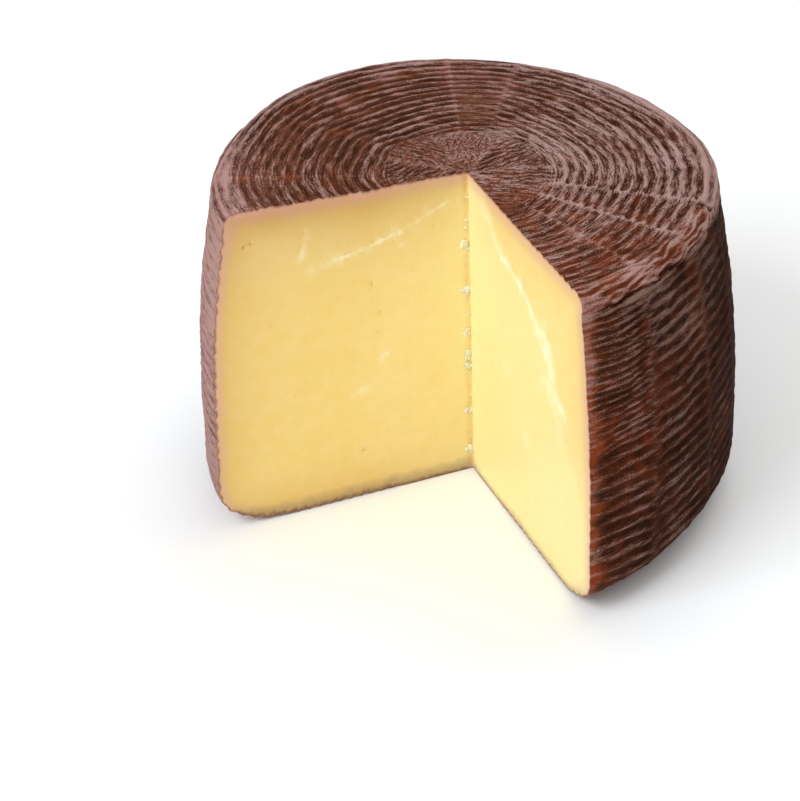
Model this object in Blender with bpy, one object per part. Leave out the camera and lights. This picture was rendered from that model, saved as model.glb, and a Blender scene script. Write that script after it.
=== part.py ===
"""A basket-pressed wheel of wine-aged sheep and goat cheese with a quarter cut out of it.

The wheel stands on its flat base, with its axis on Z. The missing quarter lies between -X and -Y, and
its two cut faces meet in an edge on the axis. The rind keeps the print of the woven basket: rows of
reeds that change places at each upright stake, so that a ridge meets a groove there.
"""

import math

import bmesh
import bpy
import numpy as np
from mathutils import Matrix, Vector

# Driving dimensions of the wheel, in metres
HEIGHT = 0.1312
BELLY_RADIUS = 0.1000
BELLY_HEIGHT = 0.0400
BASE_FLAT_RADIUS = 0.0610
FOOT_RISE = 0.0210
SHOULDER_RADIUS = 0.0913
SHOULDER_DROP = 0.0045
LIP_WIDTH = 0.0070
TOP_DISH = 0.0018

# Shape of the curves between those dimensions
FOOT_ROUNDNESS = 2.9
LIP_ROUNDNESS = 2.0
LEAN_POWER = 1.8

# The wheel is not truly round or level: (waves round it, height of a wave, azimuth of a crest)
LOBES = (
    (2, 0.0013, -85.0),
    (3, 0.0018, 35.6),
    (4, 0.0021, -5.8),
    (5, 0.0013, -30.7),
)
TOP_FALL = 0.0407
TOP_FALL_AZIMUTH = -22.8

# The wheel's axis, set so that the origin is the middle of the base's box
AXIS_X = 0.0019
AXIS_Y = 0.0022

# The cut quarter
FIRST_CUT_AZIMUTH = -90.0
KEPT_ANGLE = 270.0

# The basket's print
STAKE_SPACING = 18.0
COLUMNS_PER_BAY = 4
REED_DEPTH = 0.0012
SIDE_REED_PITCH = 0.00535
TOP_REED_PITCH = 0.00415
FOOT_PRINT_RADIUS = 0.0820
SIDE_PRINT_TOP = 0.1225
LIP_CREVICE_DEPTH = 0.0010
TOP_PRINT_OUTER = 0.0850
TOP_PRINT_INNER = 0.0300
SMOOTH_CENTRE_RADIUS = 0.0150

MERGE_DISTANCE = 1e-6
SHARP_ANGLE = 80.0

# Profile points that carry no reed: a smooth one, and the crevice under the rolled lip
NO_PRINT = -1
LIP_CREVICE = -2

COLUMNS = round(KEPT_ANGLE / STAKE_SPACING) * COLUMNS_PER_BAY
FULL_TURN_COLUMNS = round(360.0 / STAKE_SPACING) * COLUMNS_PER_BAY


def clear_scene():
    """Remove every object, so that only the wheel is left."""
    for thing in list(bpy.data.objects):
        bpy.data.objects.remove(thing, do_unlink=True)


def rounded_corner(width, height, roundness, steps=48):
    """Points of a quarter superellipse, from (0, 0) along the flat and up to (width, height)."""
    points = []
    for turn in np.linspace(0.0, math.pi / 2, steps):
        across = width * math.sin(turn) ** (2 / roundness)
        up = height * (1 - abs(math.cos(turn)) ** (2 / roundness))
        points.append((across, up))
    return points


def side_radius(height):
    """Radius of the side at a height: upright at the belly, then leaning in towards the shoulder."""
    rise = (height - BELLY_HEIGHT) / (HEIGHT - SHOULDER_DROP - BELLY_HEIGHT)
    return BELLY_RADIUS - (BELLY_RADIUS - SHOULDER_RADIUS) * max(rise, 0.0) ** LEAN_POWER


def top_height(radius):
    """Height of the top, which sinks a little towards its middle."""
    return HEIGHT - TOP_DISH * (1 - (radius / BELLY_RADIUS) ** 2)


def smooth_outline():
    """Radius and height of the rind without its print, from the base's middle to the top's middle."""
    shoulder_height = HEIGHT - SHOULDER_DROP
    lip_radius = SHOULDER_RADIUS - LIP_WIDTH
    foot = rounded_corner(BELLY_RADIUS - BASE_FLAT_RADIUS, FOOT_RISE, FOOT_ROUNDNESS)
    lip = rounded_corner(LIP_WIDTH, top_height(lip_radius) - shoulder_height, LIP_ROUNDNESS)
    outline = [(0.0, 0.0)]
    outline += [(BASE_FLAT_RADIUS + across, up) for across, up in foot]
    outline += [(side_radius(z), z) for z in np.linspace(FOOT_RISE, shoulder_height, 80)[1:-1]]
    outline += [(lip_radius + across, top_height(lip_radius) - up) for across, up in reversed(lip)]
    outline += [(r, top_height(r)) for r in np.linspace(lip_radius, 0.0, 40)[1:]]
    return np.array(outline)


class Meridian:
    """The smooth outline, read by the distance along it."""

    def __init__(self):
        self.points = smooth_outline()
        steps = np.linalg.norm(np.diff(self.points, axis=0), axis=1)
        self.along = np.concatenate([[0.0], np.cumsum(steps)])

    def at(self, distance):
        """The point at a distance along the outline."""
        return np.array([np.interp(distance, self.along, self.points[:, axis]) for axis in (0, 1)])

    def outward(self, distance):
        """The unit vector that points out of the wheel at a distance along the outline."""
        reach = SIDE_REED_PITCH / 4
        ahead = self.at(distance + reach) - self.at(distance - reach)
        normal = np.array([ahead[1], -ahead[0]])
        return normal / np.linalg.norm(normal)

    def distance_where(self, keep):
        """The distance of the first outline point that meets the condition keep(radius, height)."""
        for distance, (radius, height) in zip(self.along, self.points):
            if keep(radius, height):
                return distance
        return self.along[-1]


def rows_of_print(start, end, pitch):
    """Distances of the reed rows' crests and grooves, half a pitch apart, between two distances."""
    halves = 2 * round((end - start) / pitch)
    return list(np.linspace(start, end, halves + 1))


def profile_rows(meridian):
    """The profile's points as (distance, row of the print), from the base to the top."""
    foot = meridian.distance_where(lambda r, z: r >= FOOT_PRINT_RADIUS)
    neck = meridian.distance_where(lambda r, z: z >= SIDE_PRINT_TOP)
    lip = meridian.distance_where(lambda r, z: z >= SIDE_PRINT_TOP and r <= TOP_PRINT_OUTER)
    star = meridian.distance_where(lambda r, z: z >= SIDE_PRINT_TOP and r <= TOP_PRINT_INNER)
    end = meridian.along[-1]
    rows = [(0.0, NO_PRINT), (BASE_FLAT_RADIUS, NO_PRINT), ((BASE_FLAT_RADIUS + foot) / 2, NO_PRINT)]
    side = rows_of_print(foot, neck, SIDE_REED_PITCH)
    rows += [(distance, row) for row, distance in enumerate(side)]
    rows.append((neck + SIDE_REED_PITCH / 4, LIP_CREVICE))
    rows += [(distance, NO_PRINT) for distance in np.linspace(neck + SIDE_REED_PITCH / 2, lip, 5)[:-1]]
    top = rows_of_print(lip, star, TOP_REED_PITCH)
    rows += [(distance, row) for row, distance in enumerate(top)]
    rows += [(end - SMOOTH_CENTRE_RADIUS, NO_PRINT), (end, NO_PRINT)]
    return rows


def print_depth(column, row):
    """Depth of the print: a reed's groove or the ridge beside it, and half way on a stake."""
    if row == LIP_CREVICE:
        return LIP_CREVICE_DEPTH
    if row == NO_PRINT:
        return 0.0
    bay, place = divmod(column, COLUMNS_PER_BAY)
    if column == COLUMNS:
        bay -= 1
    elif place == 0 and column > 0:
        return REED_DEPTH / 2
    return REED_DEPTH * ((row + bay) % 2)


def unevenness(azimuth):
    """The factor by which the wheel is wider than a true circle at an azimuth in degrees."""
    extra = sum(high * math.cos(math.radians(waves * (azimuth - crest))) for waves, high, crest in LOBES)
    return 1 + extra / BELLY_RADIUS


def settle(radius, height, azimuth):
    """The place in space of a point of the wheel, with its lobes and its sloping top."""
    angle = math.radians(azimuth)
    wide = radius * unevenness(azimuth)
    down = TOP_FALL * wide * math.cos(angle - math.radians(TOP_FALL_AZIMUTH))
    x = AXIS_X + wide * math.cos(angle)
    y = AXIS_Y + wide * math.sin(angle)
    return Vector((x, y, height * (1 - down / HEIGHT)))


def half_section(bm, meridian, rows):
    """The section between axis and rind as one flat face; each vertex keeps its place in the profile."""
    place = bm.verts.layers.int.new("place")
    turn = Matrix.Rotation(math.radians(FIRST_CUT_AZIMUTH), 3, "Z")
    corners = []
    for index, (distance, _) in enumerate(rows):
        radius, height = meridian.at(distance)
        corner = bm.verts.new(turn @ Vector((radius, 0.0, height)))
        corner[place] = index
        corners.append(corner)
    return bm.faces.new(corners), place


def spin_section(bm, face):
    """Turn the half section round the axis into a solid with a quarter left out."""
    bmesh.ops.spin(
        bm,
        geom=[face, *face.edges, *face.verts],
        cent=(0.0, 0.0, 0.0),
        axis=(0.0, 0.0, 1.0),
        angle=math.radians(KEPT_ANGLE),
        steps=COLUMNS,
        use_merge=False,
        use_duplicate=False,
    )
    bmesh.ops.remove_doubles(bm, verts=bm.verts, dist=MERGE_DISTANCE)
    bmesh.ops.recalc_face_normals(bm, faces=bm.faces)


def press_print(bm, place, meridian, rows):
    """Press the basket's print into the rind and give the wheel its uneven form."""
    column_angle = KEPT_ANGLE / COLUMNS
    for vertex in bm.verts:
        distance, row = rows[vertex[place]]
        turned = math.degrees(math.atan2(vertex.co.y, vertex.co.x)) - FIRST_CUT_AZIMUTH
        column = round(turned / column_angle) % FULL_TURN_COLUMNS
        radius, height = meridian.at(distance) - print_depth(column, row) * meridian.outward(distance)
        vertex.co = settle(radius, height, FIRST_CUT_AZIMUTH + column * column_angle)


def principled(name, colour, roughness):
    """A material with one colour and roughness."""
    material = bpy.data.materials.new(name)
    material.use_nodes = True
    shader = material.node_tree.nodes["Principled BSDF"]
    shader.inputs["Base Color"].default_value = (*colour, 1.0)
    shader.inputs["Roughness"].default_value = roughness
    shader.inputs["Metallic"].default_value = 0.0
    material.diffuse_color = (*colour, 1.0)
    return material


def dress(mesh):
    """Wine-dark rind all round, pale paste on the two cut faces."""
    mesh.materials.append(principled("wine_rind", (0.085, 0.032, 0.024), 0.62))
    mesh.materials.append(principled("cheese_paste", (0.78, 0.56, 0.20), 0.45))
    for polygon in mesh.polygons:
        polygon.material_index = 1 if len(polygon.vertices) > 4 else 0
    mesh.shade_smooth()
    mesh.set_sharp_from_angle(angle=math.radians(SHARP_ANGLE))


def build_wheel(collection):
    """The whole wheel as one solid."""
    meridian = Meridian()
    rows = profile_rows(meridian)
    bm = bmesh.new()
    face, place = half_section(bm, meridian, rows)
    spin_section(bm, face)
    press_print(bm, place, meridian, rows)
    mesh = bpy.data.meshes.new("cheese_wheel")
    bm.to_mesh(mesh)
    bm.free()
    dress(mesh)
    wheel = bpy.data.objects.new("cheese_wheel", mesh)
    collection.objects.link(wheel)
    return wheel


def main():
    clear_scene()
    collection = bpy.data.collections.new("wine_aged_cheese")
    bpy.context.scene.collection.children.link(collection)
    build_wheel(collection)


main()
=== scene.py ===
"""A wine-aged sheep and goat cheese: a basket-pressed wheel with a quarter cut out, on a pale floor.

The wheel is one closed mesh that takes the place of the solid of the same name and has its form, with
the basket's print in full detail: rows of reeds that change places at each stake, a knot of strands in
the middle of the top, a rolled lip, and two knife-cut faces with their tears and pits. The crumbs that
cling to the inner edge of the cut are a second piece.

Sizes are in metres and azimuths in degrees, unless a name or comment says otherwise. Relief and tints
change round the wheel, so they come from stops: (azimuth, value), read in a straight line between.
"""

import logging
import math
from dataclasses import dataclass, field
from enum import Enum

import bmesh
import bpy
import numpy as np
from mathutils import Matrix, Vector
from mathutils.geometry import delaunay_2d_cdt


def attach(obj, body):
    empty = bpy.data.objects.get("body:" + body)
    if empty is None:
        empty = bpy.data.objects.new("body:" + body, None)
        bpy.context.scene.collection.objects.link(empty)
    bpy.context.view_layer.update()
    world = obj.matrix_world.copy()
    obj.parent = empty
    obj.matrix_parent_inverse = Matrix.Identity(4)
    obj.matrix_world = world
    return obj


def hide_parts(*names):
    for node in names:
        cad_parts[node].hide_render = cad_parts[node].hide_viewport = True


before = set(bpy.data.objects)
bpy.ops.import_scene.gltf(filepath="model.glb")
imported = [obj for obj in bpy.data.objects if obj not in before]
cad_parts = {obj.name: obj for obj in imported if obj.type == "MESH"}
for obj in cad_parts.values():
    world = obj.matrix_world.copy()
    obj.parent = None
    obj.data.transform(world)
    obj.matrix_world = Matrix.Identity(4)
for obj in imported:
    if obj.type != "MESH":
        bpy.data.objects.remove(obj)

LOG = logging.getLogger("cheese")
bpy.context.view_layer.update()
MM = 0.001
TURN = 2 * math.pi
LATTICE = 64

# Values that a finish reads at each vertex, and the wheel's two material slots
RIND_VALUES = ("ridge", "bloom", "rust", "blush", "wine", "grainy")
PASTE_VALUES = ("under", "aged", "smear", "mark", "pit", "reach", "foot", "golden")
RIND_SLOT, PASTE_SLOT = 0, 1
# A Mix node's colour sockets go by number, because it has several of each name
COLOUR_A, COLOUR_B, COLOUR_OUT = 6, 7, 2

Array = np.ndarray
Stops = tuple[tuple[float, float], ...]


def linear(hex_colour: str) -> tuple[float, float, float, float]:
    """Turn an sRGB hex colour into linear values.

    Args:
        hex_colour: Six hex digits with a leading hash sign.

    Returns:
        Linear red, green, blue and an alpha of one.
    """
    parts = [int(hex_colour[i : i + 2], 16) / 255 for i in (1, 3, 5)]
    red, green, blue = (p / 12.92 if p <= 0.04045 else ((p + 0.055) / 1.055) ** 2.4 for p in parts)
    return red, green, blue, 1.0


def smooth_step(low: float, high: float, value: Array) -> Array:
    """Rise smoothly from 0 at low to 1 at high."""
    t = np.clip((value - low) / (high - low), 0.0, 1.0)
    return t * t * (3 - 2 * t)


def wander(seed: int, across: Array, along: Array) -> Array:
    """Smooth noise with about one wave per unit of each coordinate.

    Args:
        seed: Picks the pattern.
        across: First coordinate.
        along: Second coordinate.

    Returns:
        Values from -1 to 1.
    """
    lattice = np.random.default_rng(seed).uniform(-1.0, 1.0, (LATTICE, LATTICE))
    i, j = np.floor(across).astype(int), np.floor(along).astype(int)
    u, v = across - i, along - j
    u, v = u * u * (3 - 2 * u), v * v * (3 - 2 * v)
    near, far = j % LATTICE, (j + 1) % LATTICE
    low, high = (lattice[k % LATTICE, near] * (1 - v) + lattice[k % LATTICE, far] * v for k in (i, i + 1))
    return low * (1 - u) + high * u


def round_trip(azimuth: Array, stops: Stops) -> Array:
    """Read a value that changes with the azimuth from its stops."""
    at, values = zip(*stops)
    return np.interp(azimuth, at, values)


def away_from_path(points: Array, path: Array) -> Array:
    """Distance of points in a plane from a line of several stretches.

    Args:
        points: Rows of two coordinates.
        path: The line's corners, as rows of two coordinates.

    Returns:
        One distance for each point.
    """
    nearest = np.full(len(points), np.inf)
    for start, end in zip(path[:-1], path[1:]):
        reach = end - start
        t = np.clip(((points - start) @ reach) / max(float(reach @ reach), 1e-18), 0.0, 1.0)
        nearest = np.minimum(nearest, np.linalg.norm(points - start - t[:, None] * reach, axis=1))
    return nearest


def add_node(
    tree: bpy.types.NodeTree, kind: str, links: dict | None = None, **settings: object
) -> bpy.types.Node:
    """Add a node with its settings and links.

    Args:
        tree: The material's node tree.
        kind: The node's type name.
        links: For each input, by name or number, the output socket or the value it takes.
        settings: Properties of the node itself.

    Returns:
        The new node.
    """
    node = tree.nodes.new(kind)
    for name, value in settings.items():
        setattr(node, name, value)
    for key, source in (links or {}).items():
        if isinstance(source, bpy.types.NodeSocket):
            tree.links.new(source, node.inputs[key])
        else:
            node.inputs[key].default_value = source
    return node


def thinned(points: Array, gap: float) -> Array:
    """Drop points that lie in the same small square as an earlier one."""
    _, first = np.unique(np.floor(points / gap).astype(int), axis=0, return_index=True)
    return points[np.sort(first)]


def store_values(mesh: bpy.types.Mesh, values: dict[str, Array]) -> None:
    """Store values for the finishes to read.

    Args:
        mesh: The mesh that gets them.
        values: One number per vertex under each name.
    """
    for name, numbers in values.items():
        layer = mesh.attributes.new(name, "FLOAT", "POINT")
        layer.data.foreach_set("value", np.asarray(numbers, np.float32))


class CutFace(Enum):
    """The two faces that the knife left, by the azimuth in which each lies."""

    RIGHT = -90.0
    LEFT = 180.0

    @property
    def outward(self) -> Array:
        """Unit vector in plan from the axis out along the face."""
        return np.array([0.0, -1.0] if self is CutFace.RIGHT else [-1.0, 0.0])

    @property
    def into(self) -> Array:
        """Unit vector in space from the face into the paste."""
        return np.array([1.0, 0.0, 0.0] if self is CutFace.RIGHT else [0.0, 1.0, 0.0])


@dataclass(frozen=True)
class Waver:
    """A layer of smooth noise: its pattern, its height, and the size of its waves across and along."""

    seed: int
    height: float
    across: float
    along: float

    def at(self, across: Array, along: Array) -> Array:
        """Height of the layer at places on the surface."""
        return self.height * wander(self.seed, across / self.across, along / self.along)


@dataclass
class WheelForm:
    """The wheel's smooth form: outline, lobes, sloping top and the place of its axis."""

    height: float = 0.1312
    belly_radius: float = 0.1000
    belly_height: float = 0.0400
    base_flat_radius: float = 0.0610
    foot_rise: float = 0.0210
    shoulder_radius: float = 0.0913
    shoulder_drop: float = 0.0045
    lip_width: float = 0.0070
    top_dish: float = 0.0018
    foot_roundness: float = 2.9
    lip_roundness: float = 2.0
    lean_power: float = 1.8
    lobes: tuple = ((2, 0.0013, -85.0), (3, 0.0018, 35.6), (4, 0.0021, -5.8), (5, 0.0013, -30.7))
    top_fall: float = 0.0407
    top_fall_azimuth: float = -22.8
    axis_x: float = 0.0019
    axis_y: float = 0.0022
    first_azimuth: float = CutFace.RIGHT.value
    corner_points: int = 96
    side_points: int = 160
    top_points: int = 80

    def __post_init__(self) -> None:
        """Work out the outline once, with the distance along it."""
        self.outline = self.smooth_outline()
        steps = np.linalg.norm(np.diff(self.outline, axis=0), axis=1)
        self.along = np.concatenate([[0.0], np.cumsum(steps)])

    def corner(self, width: float, height: float, roundness: float) -> Array:
        """Trace a quarter superellipse.

        Args:
            width: Its reach along the flat.
            height: Its rise.
            roundness: Its power; 2 is an ellipse.

        Returns:
            Points from (0, 0) along the flat and up to (width, height).
        """
        turn = np.linspace(0.0, math.pi / 2, self.corner_points)
        across = width * np.sin(turn) ** (2 / roundness)
        up = height * (1 - np.abs(np.cos(turn)) ** (2 / roundness))
        return np.stack([across, up], axis=1)

    def side_radius(self, height: Array) -> Array:
        """Radius of the side at a height."""
        rise = (height - self.belly_height) / (self.height - self.shoulder_drop - self.belly_height)
        lean = np.maximum(rise, 0.0) ** self.lean_power
        return self.belly_radius - (self.belly_radius - self.shoulder_radius) * lean

    def top_height(self, radius: Array) -> Array:
        """Height of the slightly sunken top at a radius."""
        return self.height - self.top_dish * (1 - (radius / self.belly_radius) ** 2)

    def smooth_outline(self) -> Array:
        """Trace the rind without its print.

        Returns:
            Radius and height of points from the base's middle to the top's middle.
        """
        shoulder = self.height - self.shoulder_drop
        lip_radius = self.shoulder_radius - self.lip_width
        foot = self.corner(self.belly_radius - self.base_flat_radius, self.foot_rise, self.foot_roundness)
        lip = self.corner(self.lip_width, self.top_height(lip_radius) - shoulder, self.lip_roundness)
        side_z = np.linspace(self.foot_rise, shoulder, self.side_points)[1:-1]
        top_r = np.linspace(lip_radius, 0.0, self.top_points)[1:]
        return np.concatenate(
            [
                [[0.0, 0.0]],
                foot + (self.base_flat_radius, 0.0),
                np.stack([self.side_radius(side_z), side_z], axis=1),
                (lip * (1, -1) + (lip_radius, self.top_height(lip_radius)))[::-1],
                np.stack([top_r, self.top_height(top_r)], axis=1),
            ]
        )

    def at(self, distance: Array) -> Array:
        """Radius and height at distances along the outline."""
        return np.stack([np.interp(distance, self.along, self.outline[:, k]) for k in (0, 1)], axis=-1)

    def near_foot(self, height: Array) -> Array:
        """How near the wheel's foot a height is, from 0 to 1."""
        return smooth_step(0.012, 0.004, height)

    def outward(self, distance: Array) -> Array:
        """Find which way is out of the wheel.

        Args:
            distance: Metres along the outline.

        Returns:
            Unit vectors in the plane of the outline.
        """
        ahead = self.at(distance + MM) - self.at(distance - MM)
        normal = np.stack([ahead[..., 1], -ahead[..., 0]], axis=-1)
        return normal / np.linalg.norm(normal, axis=-1, keepdims=True)

    def distance_to(self, above: float, radius: float) -> float:
        """Distance of the first outline point over a height whose radius is at most the one given."""
        found = (self.outline[:, 1] >= above) & (self.outline[:, 0] <= radius)
        return float(self.along[np.argmax(found)])

    def settle(self, radius: Array, height: Array, azimuth: Array) -> Array:
        """Give points of a round, level wheel their place on the real one, with its lobes and slope.

        Args:
            radius: Metres from the axis.
            height: Metres above the base.
            azimuth: Degrees round the axis.

        Returns:
            Places in space.
        """
        angle = np.radians(azimuth)
        extra = sum(
            high * np.cos(np.radians(waves * (azimuth - crest))) for waves, high, crest in self.lobes
        )
        wide = radius * (1 + extra / self.belly_radius)
        down = self.top_fall * wide * np.cos(angle - math.radians(self.top_fall_azimuth))
        x = self.axis_x + wide * np.cos(angle)
        y = self.axis_y + wide * np.sin(angle)
        return np.stack([x, y, height * (1 - down / self.height)], axis=-1)


@dataclass
class RindPlace:
    """Places on the rind: metres along the outline, degrees round the axis, and what follows from them."""

    form: WheelForm
    distance: Array
    azimuth: Array

    def __post_init__(self) -> None:
        """Work out radius and height, and the metres round from the right cut face."""
        self.radius, self.height = np.moveaxis(self.form.at(self.distance), -1, 0)
        self.arc = self.radius * np.radians(self.azimuth - self.form.first_azimuth)

    def beyond(self, azimuth: float) -> Array:
        """Metres round from an azimuth."""
        return self.radius * np.radians(self.azimuth - azimuth)


@dataclass(frozen=True)
class Weave:
    """How reeds go round the stakes.

    A stake is (azimuth, hold): with a hold of 1 the reeds change places at it, with 0 they run through.
    The tip is the length over which a reed's end thins out, and the seed picks how single reeds differ.
    """

    stakes: Stops
    tip: float
    seed: int


@dataclass
class BasketPrint:
    """The print of a woven basket: reed grooves between upright stakes."""

    form: WheelForm
    reed_depth: float = 0.0012
    side_pitch: float = 0.00535
    ring_pitch: float = 0.00405
    ring_turn: float = 0.0250
    foot_radius: float = 0.0820
    side_top: float = 0.1225
    top_outer: float = 0.0850
    top_inner: float = 0.0300
    tip_overlap: float = 0.0010
    longest_tip: float = 0.32
    smallest_radius: float = 0.012
    bay_angle: float = 18.0
    firm_hold: float = 0.6
    bay_shift: float = 0.2
    reed_bend: float = 0.12
    reed_strength: float = 0.86
    strength_spread: float = 0.30
    # The first bay's upper reeds lie in pairs: more to a row, a little shallower, and up to this arc
    pair_rows: float = 1.88
    pair_depth: float = 0.86
    pair_height: float = 0.0705
    pair_angles: tuple = (20.0, 15.0)
    # The knife has smoothed the print's last few millimetres beside the cut
    worn_band: float = 0.00512
    worn_share: float = 0.6
    side_stakes: Stops = (
        (-90.0, 0.0), (-73.0, 0.72), (-50.5, 0.65), (-34.0, 0.75), (-18.0, 0.8), (0.0, 0.75),
        (18.0, 0.8), (36.0, 0.65), (54.0, 0.8), (72.0, 0.75), (90.0, 0.8), (108.0, 0.7),
        (126.0, 0.8), (144.0, 0.7), (162.0, 0.8), (180.0, 0.0),
    )
    top_stakes: Stops = (
        (-90.0, 0.0), (-72.0, 0.7), (-54.0, 0.9), (-36.5, 0.9), (-18.0, 0.4), (0.0, 0.12),
        (18.0, 0.2), (36.0, 0.25), (54.0, 0.65), (72.0, 0.5), (91.0, 0.35), (109.0, 0.3),
        (127.0, 0.45), (145.0, 0.25), (163.5, 0.4), (180.0, 0.0),
    )
    outer_pitch: Stops = (
        (-90.0, 0.00430), (-70.0, 0.00415), (-45.0, 0.00450), (0.0, 0.00450), (18.0, 0.00445),
        (30.0, 0.00424), (45.0, 0.00385), (75.0, 0.00386), (95.0, 0.00420), (108.0, 0.00450),
        (120.0, 0.00410), (130.0, 0.00382), (160.0, 0.00390), (180.0, 0.00410),
    )
    # How broad the grooves are, as the power of their cross-section: a small one leaves thin ridges
    side_breadth: Stops = ((-90, 1.0), (-55, 0.95), (-47, 0.68), (145, 0.72), (165, 1.0), (180, 1.0))
    top_breadth: Stops = (
        (-90, 0.75), (-40, 0.8), (-10, 0.9), (20, 0.75), (60, 0.6), (100, 0.58), (180, 0.5),
    )
    # Second lines between the rings, and how far the rings are rubbed down; one bay is nearly flat
    split_rings: Stops = ((-90, 0.75), (-56, 0.7), (-45, 0.5), (-34, 0.2), (-20, 0.0), (180, 0.0))
    rubbed: Stops = (
        (-90, 0.7), (-80, 0.9), (50, 0.9), (57, 0.45), (69, 0.45), (75, 0.85), (150, 0.8), (180, 0.6),
    )
    side_waves: tuple = (Waver(3, 0.22, 0.02, 0.016), Waver(4, 0.09, 0.005, 0.006))
    ring_waves: tuple = (Waver(7, 0.14, 0.02, 0.014), Waver(8, 0.08, 0.004, 0.005))

    def __post_init__(self) -> None:
        """Find where each zone of the print starts along the outline, and name the weaves."""
        form = self.form
        self.foot = float(form.along[np.argmax(form.outline[:, 0] >= self.foot_radius)])
        self.neck = form.distance_to(self.side_top, 1.0)
        self.lip = form.distance_to(self.side_top, self.top_outer)
        self.star = form.distance_to(self.side_top, self.top_inner)
        self.end = float(form.along[-1])
        self.side_pitch = (self.neck - self.foot) / round((self.neck - self.foot) / self.side_pitch)
        self.single_reeds, self.paired_reeds, self.base_reeds = (
            Weave(self.side_stakes, 0.0050, seed) for seed in (11, 14, 41)
        )
        self.top_reeds, self.thin_reeds = (Weave(self.top_stakes, 0.0018, seed) for seed in (21, 27))

    def grooves(self, phase: Array, place: RindPlace, breadth: Array | float, weave: Weave) -> Array:
        """Press the reeds of one weave.

        Args:
            phase: Row coordinate, a whole number on the ridges.
            place: Where on the rind.
            breadth: Power of the cross-section: small for broad grooves, large for broad ridges.
            weave: How the reeds go round the stakes.

        Returns:
            0 on the ridges and about 1 in the grooves.
        """
        at, held = np.array(weave.stakes).T
        last = len(at) - 2
        hops = np.cumsum(np.where(held > self.firm_hold, 0.5, 0.0))
        offsets = np.random.default_rng(weave.seed).uniform(-self.bay_shift, self.bay_shift, len(at))
        turned = np.interp(place.azimuth, at, np.arange(len(at)))
        bay = np.clip(np.floor(turned), 0, last).astype(int)
        drift = np.interp(turned, np.arange(len(at)), offsets)
        bay_arc = np.maximum(place.radius, self.smallest_radius) * math.radians(self.bay_angle)
        tip, overlap = np.minimum(weave.tip / bay_arc, self.longest_tip), self.tip_overlap / bay_arc
        depth = np.zeros_like(phase)
        for step in (0, -1, 1):
            own = np.clip(bay + step, 0, last)
            inside = turned - own
            row = phase + hops[own] + drift
            reed = np.floor(row)
            bend = self.reed_bend * wander(weave.seed + 1, reed + 0.5, turned * 1.3)
            row = row + bend * np.sin(math.pi * (row - reed))
            uneven = wander(weave.seed + 2, reed + 0.5, turned * 2.3)
            trough = (0.5 - 0.5 * np.cos(TURN * row)) ** breadth
            low = smooth_step(0.0, 1.0, (inside + overlap) / (tip + overlap))
            high = smooth_step(0.0, 1.0, (1 - inside + overlap) / (tip + overlap))
            window = np.minimum(1 - held[own] * (1 - low), 1 - held[own + 1] * (1 - high))
            strength = self.reed_strength + self.strength_spread * uneven
            depth = np.maximum(depth, strength * np.maximum(trough - (1 - window), 0.0))
        return depth

    def side(self, place: RindPlace) -> Array:
        """Groove depth on the side and the foot; the upper reeds of the first bay lie in pairs.

        Args:
            place: Where on the rind.

        Returns:
            0 on the ridges and about 1 in the grooves.
        """
        wave = sum(layer.at(place.distance, place.arc) for layer in self.side_waves)
        phase = (place.distance - self.foot) / self.side_pitch + wave
        breadth = 0.45 + Waver(5, 0.2, 0.03, 0.03).at(place.distance, place.arc)
        breadth = breadth * round_trip(place.azimuth, self.side_breadth)
        single = self.grooves(phase, place, breadth, self.single_reeds)
        pairs = self.pair_depth * self.grooves(self.pair_rows * phase, place, breadth, self.paired_reeds)
        paired = smooth_step(self.pair_height - 0.006, self.pair_height + 0.004, place.height)
        ragged = Waver(10, 3.0, 0.006, 1.0).at(place.height, place.arc)
        paired = paired * smooth_step(*self.pair_angles, place.azimuth - self.form.first_azimuth + ragged)
        ragged = Waver(17, 0.0016, 0.003, 1.0).at(place.height, place.arc)
        band = smooth_step(0.0, self.worn_band, place.arc - 0.0012 + ragged)
        return (single * (1 - paired) + pairs * paired) * (self.worn_share + (1 - self.worn_share) * band)

    def side_wear(self, place: RindPlace) -> Array:
        """How much of the side's relief is left, from 0 to about 1."""
        return 1.1 - 0.4 * smooth_step(0.1, 0.8, Waver(6, 1.0, 0.028, 0.026).at(place.distance, place.arc))

    def ring_phase(self, place: RindPlace) -> Array:
        """Row coordinate of the rings on the top, a whole number on their ridges.

        Args:
            place: Where on the rind.

        Returns:
            One number for each place.
        """
        inward = place.distance - self.lip
        outer = round_trip(place.azimuth, self.outer_pitch)
        phase = np.minimum(inward, self.ring_turn) / outer
        phase = phase + np.maximum(inward - self.ring_turn, 0.0) / self.ring_pitch
        return phase + sum(layer.at(place.distance, place.arc) for layer in self.ring_waves)

    def top(self, place: RindPlace) -> Array:
        """Groove depth on the top: rings, with broader ridges on the right and thin ones on the left.

        Args:
            place: Where on the rind.

        Returns:
            0 on the ridges and about 1 in the grooves.
        """
        phase = self.ring_phase(place)
        breadth = round_trip(place.azimuth, self.top_breadth)
        rings = self.grooves(phase, place, breadth, self.top_reeds)
        between = self.grooves(2 * phase + 0.5, place, breadth, self.thin_reeds)
        patchy = 0.8 + Waver(12, 0.4, 0.012, 0.012).at(place.distance, place.arc)
        split = round_trip(place.azimuth, self.split_rings) * patchy
        split = split * smooth_step(0.068, 0.058, place.radius)
        return np.maximum((1 - 0.3 * split) * rings, 0.7 * split * between)

    def top_wear(self, place: RindPlace) -> Array:
        """How much of the rings' relief is left, from 0 to 1."""
        worn = smooth_step(0.2, 0.9, Waver(9, 1.0, 0.022, 0.02).at(place.distance, place.arc))
        return round_trip(place.azimuth, self.rubbed) * (1 - 0.35 * worn)

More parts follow.
